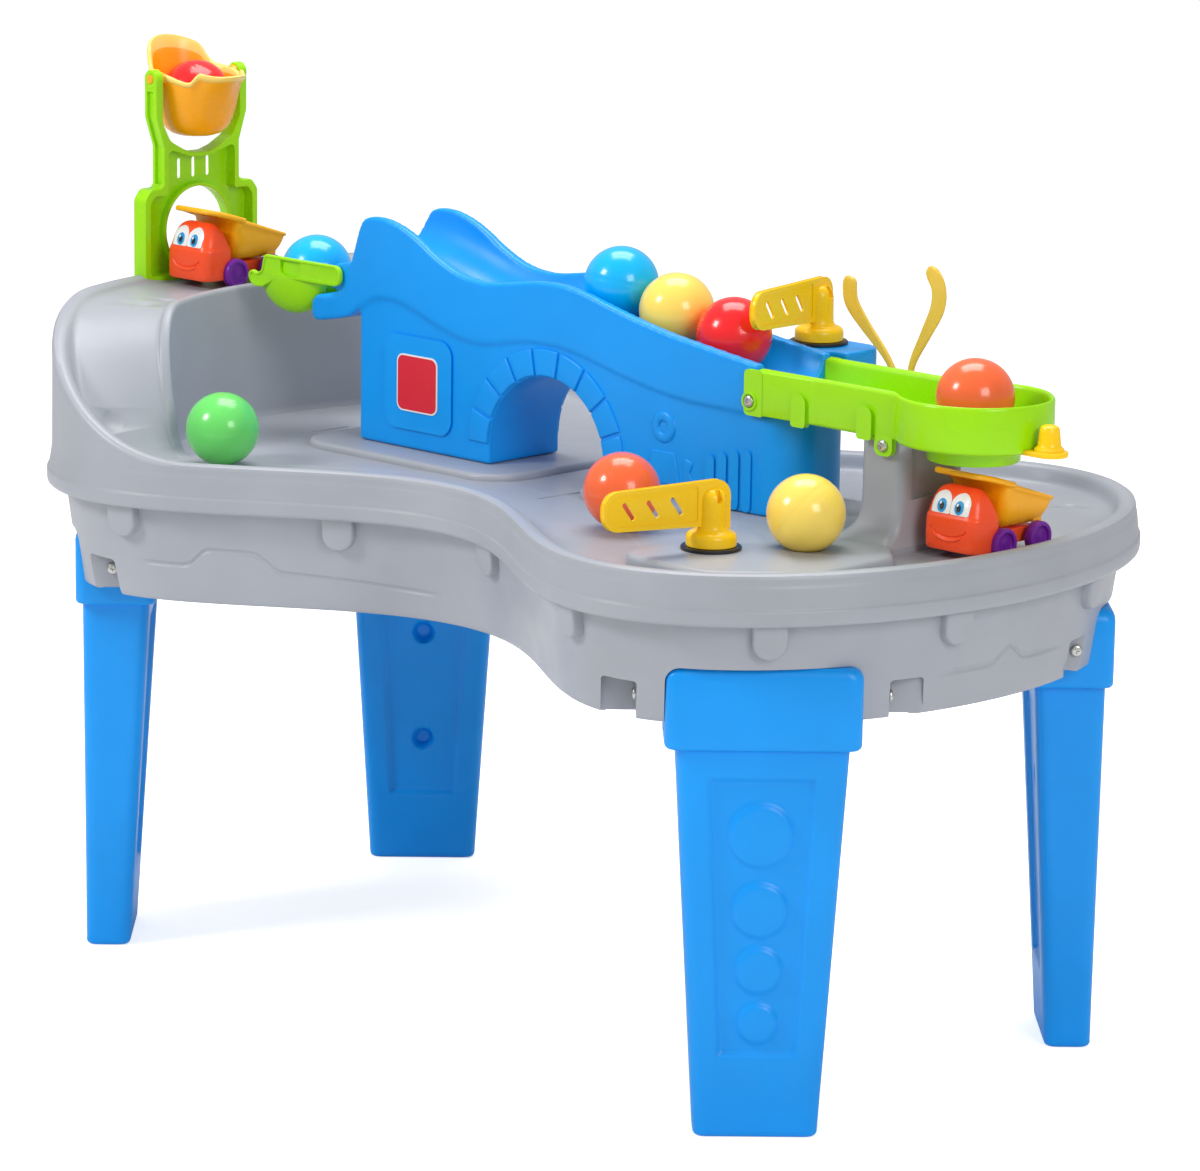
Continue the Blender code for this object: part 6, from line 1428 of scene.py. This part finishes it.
for side in (-1, 1):
    pin = [
        (0, 0.0446), (0.0060, 0.0446), (0.0066, 0.0494), (0.0068, 0.0502), (0.0045, 0.0502),
        (0.0045, 0.0607), (0.0038, 0.0615), (0, 0.0615),
    ]
    pins.append(turned("pin", pin, (tower_x, tower_y, pivot_z), (0, side, 0), 32))
bucket = join("bucket_moulding", [bucket] + pins)
dress(settle(bucket, 45), amber_plastic, "bucket", ["bucket"])
pale_amber = moulded_plastic(
    "pale_amber_plastic", (1.0, 0.68, 0.15), (1.0, 0.85, 0.45), 0.25, 0.04, 1200.0, 0.04, 0.5,
)
rim_levels = (
    (0.0424, -0.0046, 0.79), (0.0452, -0.0050, 0.79), (0.0462, -0.0042, 0.84), (0.0475, -0.0026, 0.91),
    (0.0479, -0.0012, 0.96),
    (0.0474, 0.0002, 1.0), (0.0460, 0.0010, 1.0), (0.0442, 0.0006, 1.0), (0.0430, -0.0012, 0.95),
    (0.0424, -0.0046, 0.79),
)
rim = skin("bucket_rim", [bucket_row(*level) for level in rim_levels], caps=False)
dress(settle(rim, 50), pale_amber, "bucket", [])

# Scoop: a green cup on a flat arm with a raised border. It hangs on a peg in the hill's left ear and tips
# the ball that it holds on to the track.
scoop_line = [
    (0.010, -0.010), (0.010, 0.010), (-0.098, 0.010), (-0.1005, 0.003), (-0.1025, -0.0065),
    (-0.110, -0.0095), (-0.1165, -0.0070),
    (-0.122, -0.0105), (-0.1195, -0.019), (-0.1120, -0.0235), (-0.1010, -0.0225), (-0.0890, -0.0165),
    (-0.0760, -0.0105),
]
hang_x = -0.284
hang_z = 0.657
scoop_line = [(hang_x + x, hang_z + z) for x, z in scoop_line]
scoop_radii = [0.0085, 0.0085, 0.003, 0.004, 0.006, 0.006, 0.004, 0.005, 0.008, 0.008, 0.008, 0.008, 0.006]
scoop_line = rounded(scoop_line, scoop_radii, 6)


def shrunk(outline, inset):
    """An outline drawn in by a distance."""
    count = len(outline)
    drawn = []
    for i in range(count):
        before = Vector(outline[i - 1])
        here = Vector(outline[i])
        after = Vector(outline[(i + 1) % count])
        first = (here - before).normalized()
        second = (after - here).normalized()
        side = Vector((-first.y - second.y, first.x + second.x))
        miter = max(0.35, math.sqrt(max(0.0, (1 + first.dot(second)) / 2)))
        drawn.append(tuple(here + side.normalized() * inset / miter))
    return drawn


plate = slab("scoop_plate", scoop_line, -0.0555, -0.0505, 0.0009, "Y")
carve(plate, slab("plate_field", shrunk(scoop_line, 0.0022), -0.0600, -0.0543, 0.0004, "Y"))
grip = oblong(-0.3600, 0.6490, -0.3310, 0.6640)
carve(
    plate,
    slab("grip", rounded(grip, [0.008, 0.008, 0.001, 0.001], 6)[::-1], -0.0600, -0.0511, 0.0004, "Y"),
)
ball_x = -0.355
ball_y = -0.010
ball_z = 0.650
cup_rows = []
for k in range(27):
    angle = math.radians(82) * k / 26
    cup_rows.append((math.sin(angle), -math.cos(angle)))


def cup_row(reach, depth, level, near, steps=72):
    """One ring of the cup, drawn out towards the plate on its near side."""
    row = []
    for m in range(steps):
        turn = 2 * math.pi * m / steps
        stretch = near if math.sin(turn) < 0 else depth
        row.append(
            (
                ball_x + depth * reach * math.cos(turn), ball_y + stretch * reach * math.sin(turn),
                ball_z + depth * level,
            )
        )
    return row


cup_lines = [cup_row(max(reach, 0.02), 0.0388, level, 0.0452) for reach, level in cup_rows]
cup_lines += [cup_row(max(reach, 0.02), 0.0358, level, 0.0358) for reach, level in reversed(cup_rows)]
scoop_cup = skin("scoop_cup", cup_lines)
bulge = ellipse_dome("scoop_bulge", (-0.3560, -0.0400, 0.6470), (0.0450, 0.0160, 0.0362), 64)
above = oblong(-0.42, -0.08, -0.28, 0.0)
carve(bulge, slab("above", above, 0.6480, 0.7000, 0.0002, steps=1))
carve(bulge, ellipse_dome("ball_room", (ball_x, ball_y, ball_z), (0.0358, 0.0358, 0.0358), 64))
rim = [
    (0.03675, -0.0072), (0.03860, -0.0068), (0.03925, -0.0052), (0.03860, -0.0037), (0.03675, -0.0033),
    (0.03560, -0.0052), (0.03675, -0.0072),
]
cup_rim = turned("cup_rim", rim, (ball_x, ball_y, ball_z), steps=72)
peg = turned(
    "scoop_peg", [(0, 0.0), (0.0040, 0.0), (0.0040, 0.0128), (0.0034, 0.0135), (0, 0.0135)],
    (hang_x, -0.0515, hang_z), (0, 1, 0), 28,
)
scoop = join("scoop_moulding", [plate, scoop_cup, bulge, cup_rim, peg])
dress(settle(scoop, 40), green_plastic, "scoop", ["scoop"])

# Balls: nine hollow play balls, 70 mm across, in five colours, each with a fine seam where its halves meet.
ball_radius = 0.03495
ball_profile = []
for k in range(65):
    angle = math.pi * k / 64 - math.pi / 2
    seam = 0.00035 * math.exp(-(((k - 32) / 0.8) ** 2))
    ball_profile.append(((ball_radius - seam) * math.cos(angle), ball_radius * math.sin(angle)))
ball_profile[0] = (0, -ball_radius)
ball_profile[-1] = (0, ball_radius)
ball_colours = {
    "red": ((0.92, 0.014, 0.018), (0.97, 0.12, 0.12)), "blue": ((0.0, 0.47, 0.94), (0.08, 0.60, 0.97)),
    "green": ((0.15, 0.71, 0.14), (0.30, 0.80, 0.30)), "yellow": ((1.0, 0.73, 0.13), (1.0, 0.84, 0.35)),
    "orange": ((0.98, 0.145, 0.040), (1.0, 0.32, 0.18)),
}
ball_plastic = {}
for label, (colour, rubbed) in ball_colours.items():
    ball_plastic[label] = moulded_plastic(
        label + "_ball_plastic", colour, rubbed, 0.24, 0.04, 1400.0, 0.03, 0.2, 0.35,
    )
for number, (node, body) in enumerate((
    ("ball_red_bucket", "bucket"), ("ball_blue_scoop", "scoop"), ("ball_green_floor", "table"),
    ("ball_blue_track", "table"),
    ("ball_yellow_track", "table"), ("ball_red_track", "table"), ("ball_orange_bowl", "table"),
    ("ball_orange_floor", "table"),
    ("ball_yellow_floor", "table"),
)):
    low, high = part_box(node)
    middle = [(a + b) / 2 for a, b in zip(low, high)]
    colour = node.split("_")[1]
    lean = Vector((math.sin(2.1 * number), math.cos(3.7 * number), 0.35 + 0.3 * math.sin(number)))
    ball = turned(node + "_shell", ball_profile, middle, lean.normalized(), 64)
    dress(settle(ball, 60), ball_plastic[colour], body, [node])

# Trucks: two tipping trucks. Each has an orange-red cab and frame with plain friendly eyes and a smile, an
# orange hopper whose lip reaches over the cab, and purple dished wheels on steel axles.
cab_plastic = moulded_plastic(
    "cab_plastic", (0.96, 0.085, 0.020), (1.0, 0.22, 0.12), 0.28, 0.05, 1100.0, 0.04, 0.4,
)
bed_plastic = moulded_plastic(
    "bed_plastic", (1.0, 0.45, 0.004), (1.0, 0.62, 0.12), 0.28, 0.05, 1100.0, 0.04, 0.4,
)
wheel_plastic = moulded_plastic(
    "wheel_plastic", (0.17, 0.012, 0.34), (0.35, 0.12, 0.55), 0.32, 0.05, 1100.0, 0.06, 0.4,
)
eye_white = moulded_plastic(
    "eye_white", (0.84, 0.84, 0.84), (0.9, 0.9, 0.9), 0.26, 0.02, 1500.0, 0.02, 0.1, 0.3,
)
eye_dark = moulded_plastic(
    "eye_dark", (0.012, 0.012, 0.02), (0.05, 0.05, 0.06), 0.22, 0.05, 1500.0, 0.02, 0.1, 0.4,
)
eye_blue = moulded_plastic(
    "eye_blue", (0.01, 0.30, 0.66), (0.1, 0.4, 0.75), 0.22, 0.05, 1500.0, 0.02, 0.1, 0.4,
)


def bar_between(name, points, radius):
    """A thin round bar laid through points on the front of the cab."""
    rows = []
    for x, y, z in points:
        rows.append(
            [
                (x, y + radius * math.cos(k * math.pi / 5), z + radius * math.sin(k * math.pi / 5))
                for k in range(10)
            ]
        )
    return skin(name, rows)


cab_levels = (
    (0.0080, 0.0288, -0.0478, -0.0124, 0.009), (0.0086, 0.0300, -0.0490, -0.0114, 0.010),
    (0.0104, 0.0307, -0.0497, -0.0109, 0.010),
    (0.0140, 0.0310, -0.0501, -0.0108, 0.011), (0.0220, 0.0310, -0.0503, -0.0108, 0.011),
    (0.0310, 0.0309, -0.0501, -0.0108, 0.011),
    (0.0368, 0.0306, -0.0497, -0.0110, 0.011), (0.0384, 0.0304, -0.0495, -0.0112, 0.011),
    (0.0391, 0.0300, -0.0490, -0.0115, 0.011),
    (0.0398, 0.0297, -0.0486, -0.0118, 0.011), (0.0440, 0.0292, -0.0477, -0.0130, 0.012),
    (0.0490, 0.0282, -0.0463, -0.0150, 0.012),
    (0.0540, 0.0266, -0.0442, -0.0180, 0.011), (0.0580, 0.0246, -0.0416, -0.0212, 0.0090),
    (0.0610, 0.0220, -0.0387, -0.0243, 0.0064),
    (0.0630, 0.0188, -0.0360, -0.0268, 0.0040), (0.0640, 0.0150, -0.0338, -0.0288, 0.0020),
    (0.0643, 0.0100, -0.0324, -0.0302, 0.0008),
)


def cab_row(z, half, front, back, radius):
    corners = oblong(-half, front, half, back)
    return [(x, y, z) for x, y in rounded(corners, radius, 8)]


def painted(name, outline_rows, lift, cab):
    """A thin painted patch pressed on to the cab's windscreen."""
    patch = skin(name, outline_rows, closed=False, caps=False)
    hold(patch)
    bpy.ops.object.modifier_add(type="SHRINKWRAP")
    wrap = patch.modifiers[-1]
    wrap.wrap_method = "PROJECT"
    wrap.use_project_x = False
    wrap.use_project_y = True
    wrap.use_project_z = False
    wrap.use_negative_direction = True
    wrap.use_positive_direction = True
    wrap.target = cab
    wrap.offset = lift
    bpy.ops.object.modifier_apply(modifier=wrap.name)
    bpy.ops.object.modifier_add(type="SOLIDIFY")
    shell = patch.modifiers[-1]
    shell.thickness = 0.0003
    shell.offset = 0
    bpy.ops.object.modifier_apply(modifier=shell.name)
    return patch


def oval_rows(x, z, half_x, half_z, steps=14):
    rows = []
    for k in range(steps + 1):
        rise = math.sin(math.pi * (k / steps - 0.5))
        wide = max(0.02, math.cos(math.pi * (k / steps - 0.5)))
        rows.append([(x + half_x * wide * (m / 6 - 1), -0.060, z + half_z * rise) for m in range(13)])
    return rows


def cab_pieces(name, place):
    """The cab and frame in one, and the painted eyes on it."""
    cab = skin("cab", [cab_row(*level) for level in cab_levels])
    smile = []
    for k in range(21):
        turn = math.pi * (k / 20 - 0.5) * 0.80
        smile.append(
            (0.0205 * math.sin(turn) / math.sin(0.40 * math.pi), -0.0508, 0.0318 - 0.0112 * math.cos(turn))
        )
    carve(cab, bar_between("smile", smile, 0.0016))
    features = [bar_between("lip", [(x * 0.9, y + 0.0010, z - 0.0026) for x, y, z in smile[3:-3]], 0.0014)]
    frame_line = oblong(-0.022, -0.018, 0.022, 0.046)
    features.append(slab("chassis", rounded(frame_line, 0.003, 4), 0.010, 0.023, 0.0012))
    patches = {"eyes": [], "irises": [], "pupils": [], "glints": []}
    for side in (-1, 1):
        rows = []
        for k in range(19):
            z = 0.0412 + 0.0190 * k / 18
            arch = max(0.0, (z - 0.0500) / 0.0103)
            foot = min(1.0, 0.86 + (z - 0.0412) / 0.006)
            wide = 0.0104 * math.sqrt(max(0.004, 1 - arch * arch)) * foot
            rows.append([(side * 0.0106 + wide * (m / 8 - 1), -0.060, z) for m in range(17)])
        patches["eyes"].append(painted("eye", rows, 0.0003, cab))
        for label, patch_name, x, z, half_x, half_z, lift, steps in (
            ("irises", "iris", side * 0.0098, 0.0478, 0.0050, 0.0060, 0.0007, 14),
            ("pupils", "pupil", side * 0.0096, 0.0474, 0.0023, 0.0032, 0.0011, 14),
            ("glints", "glint", side * 0.0096 - 0.0014, 0.0502, 0.0010, 0.0013, 0.0015, 8),
        ):
            patches[label].append(painted(patch_name, oval_rows(x, z, half_x, half_z, steps), lift, cab))
    body = join(name + "_cab", [cab] + features)
    body.data.transform(place)
    dress(settle(body, 40), cab_plastic, "table", [name + "_body"])
    for label, paint in (
        ("eyes", eye_white), ("irises", eye_blue), ("pupils", eye_dark), ("glints", eye_white),
    ):
        patch = join(name + "_" + label, patches[label])
        patch.data.transform(place)
        dress(settle(patch), paint, "table", [])


def hopper_row(half_front, half_back, y_front, y_back, z_front, z_back, radius):
    corners = [(-half_front, y_front), (half_front, y_front), (half_back, y_back), (-half_back, y_back)]
    row = []
    for x, y in rounded(corners, radius, 8):
        share = max(0.0, (y - y_front) / (y_back - y_front))
        row.append((x, y, z_front + (z_back - z_front) * share ** 0.9))
    return row


hopper_levels = (
    (0.0120, 0.0120, -0.0420, 0.0020, 0.0060, 0.0060, 0.006),
    (0.0195, 0.0190, -0.0466, 0.0066, 0.0066, 0.0064, 0.010),
    (0.0245, 0.0232, -0.0486, 0.0092, 0.0096, 0.0082, 0.011),
    (0.0286, 0.0266, -0.0504, 0.0118, 0.0168, 0.0118, 0.011),
    (0.0312, 0.0292, -0.0518, 0.0138, 0.0280, 0.0170, 0.010),
    (0.0325, 0.0305, -0.0530, 0.0149, 0.0400, 0.0222, 0.008),
    (0.0329, 0.0309, -0.0535, 0.0153, 0.0462, 0.0250, 0.007),
    (0.0338, 0.0318, -0.0542, 0.0163, 0.0470, 0.0257, 0.006),
    (0.0344, 0.0324, -0.0546, 0.0170, 0.0488, 0.0270, 0.006),
    (0.0338, 0.0318, -0.0541, 0.0164, 0.0508, 0.0285, 0.006),
    (0.0324, 0.0304, -0.0530, 0.0151, 0.0515, 0.0290, 0.006),
    (0.0308, 0.0288, -0.0518, 0.0138, 0.0508, 0.0286, 0.006),
    (0.0300, 0.0280, -0.0512, 0.0130, 0.0462, 0.0258, 0.006),
    (0.0286, 0.0266, -0.0500, 0.0116, 0.0300, 0.0190, 0.008),
    (0.0252, 0.0236, -0.0480, 0.0092, 0.0182, 0.0142, 0.009),
    (0.0190, 0.0182, -0.0450, 0.0056, 0.0106, 0.0102, 0.008),
    (0.0110, 0.0110, -0.0400, 0.0000, 0.0085, 0.0085, 0.005),
)
hopper_lip_half = [
    (-0.0830, 0.0235), (-0.0790, 0.0246), (-0.0740, 0.0268), (-0.0680, 0.0297), (-0.0620, 0.0320),
    (-0.0560, 0.0334), (-0.0500, 0.0338), (-0.0400, 0.0338),
]
hopper_lip_rise = [
    (-0.0830, 0.0578), (-0.0790, 0.0571), (-0.0740, 0.0559), (-0.0680, 0.0543), (-0.0620, 0.0526),
    (-0.0560, 0.0506), (-0.0500, 0.0488), (-0.0400, 0.0460),
]


def tube(name, points, radius):
    """A round edge swept along a line of points."""
    rows = []
    for i, point in enumerate(points):
        before = Vector(points[max(i - 1, 0)])
        after = Vector(points[min(i + 1, len(points) - 1)])
        along = (after - before).normalized()
        side = along.cross(Vector((0, 0, 1))).normalized()
        over = side.cross(along)
        middle = Vector(point)
        row = []
        for k in range(14):
            angle = k * math.pi / 7
            row.append(tuple(middle + (side * math.cos(angle) + over * math.sin(angle)) * radius))
        rows.append(row)
    return skin(name, rows)


def hopper(name, place):
    """The tipping hopper with its lip, rolled edge, lugs and pins."""
    pieces = [skin("hopper", [hopper_row(*level) for level in hopper_levels])]
    lip_rows = []
    for k in range(17):
        share = k / 16
        y = -0.0815 + 0.0300 * share
        half = curve_value(hopper_lip_half, y)
        z = curve_value(hopper_lip_rise, y)
        section = [(half * (m / 9 - 1), y, z + 0.0016) for m in range(19)]
        section += [(half * (m / 9 - 1), y, z - 0.0012) for m in range(18, -1, -1)]
        lip_rows.append(section)
    pieces.append(skin("hopper_lip", lip_rows))
    path = []
    for y in (-0.044, -0.050, -0.056, -0.062, -0.068, -0.074, -0.079):
        path.append((curve_value(hopper_lip_half, y), y, curve_value(hopper_lip_rise, y)))
    path += [
        (0.0228, -0.0812, 0.0574), (0.0200, -0.0824, 0.0577), (0.0100, -0.0829, 0.0579),
        (0.0, -0.0830, 0.0579),
    ]
    path = path + [(-x, y, z) for x, y, z in reversed(path[:-1])]
    pieces.append(tube("hopper_edge", path, 0.0027))
    for side in (-1, 1):
        low, high = sorted((side * 0.0225, side * 0.0257))
        lug = [(-0.0038, -0.0038), (0.0038, -0.0038), (0.0064, 0.0160), (-0.0064, 0.0160)]
        pieces.append(slab("lug", rounded(lug, [0.0036, 0.0036, 0.001, 0.001], 6), low, high, 0.0006, "X"))
        pin = [
            (0, 0.0170), (0.0017, 0.0170), (0.0017, 0.0250), (0.0026, 0.0258), (0.0024, 0.0266),
            (0, 0.0268),
        ]
        pieces.append(turned("pin", pin, (0, 0, 0), (side, 0, 0), 20))
    bed = join(name + "_hopper", pieces)
    bed.data.transform(place @ Matrix.Translation((0, 0.042, 0.019)))
    dress(settle(bed, 50), bed_plastic, name + "_bed", [name + "_bed"])


wheel_profile = [
    (0, -0.0036), (0.0030, -0.0036), (0.0050, -0.0030), (0.0102, -0.0030), (0.0108, -0.0045),
    (0.0128, -0.0045), (0.0139, -0.0041), (0.0145, -0.0030),
    (0.0145, 0.0030), (0.0140, 0.0041), (0.0130, 0.0045), (0.0112, 0.0045), (0.0104, 0.0040),
    (0.0099, 0.0022), (0.0088, 0.0014),
    (0.0060, 0.0012), (0.0035, 0.0016), (0.0015, 0.0020), (0, 0.0020),
]


def wheel_pair(name, label, place, axle_y):
    """Two wheels on one steel axle across the frame."""
    centre = place @ Matrix.Translation((0, axle_y, 0.0145))
    rod = [
        (0, -0.0340), (0.0016, -0.0340), (0.0020, -0.0336), (0.0020, 0.0336), (0.0016, 0.0340), (0, 0.0340),
    ]
    axle = turned(name + "_" + label + "_rod", rod, (0, 0, 0), (1, 0, 0), 20)
    axle.data.transform(centre)
    dress(settle(axle), steel, name + "_" + label + "_wheels", [name + "_" + label + "_axle"])
    for side, side_label in ((-1, "right"), (1, "left")):
        item = turned(
            name + "_" + label + "_" + side_label + "_wheel", wheel_profile, (side * 0.0325, 0, 0),
            (side, 0, 0), 56,
        )
        item.data.transform(centre)
        node = name + "_" + label + "_wheel_" + side_label
        dress(settle(item), wheel_plastic, name + "_" + label + "_wheels", [node])


for name, x, y, road in (("truck_deck", -0.4828, -0.019, 0.623), ("truck_road", 0.480, 0.018, 0.493)):
    place = Matrix.Translation((x, y, road + 0.0003))
    cab_pieces(name, place)
    hopper(name, place)
    wheel_pair(name, "front", place, -0.013)
    wheel_pair(name, "rear", place, 0.035)
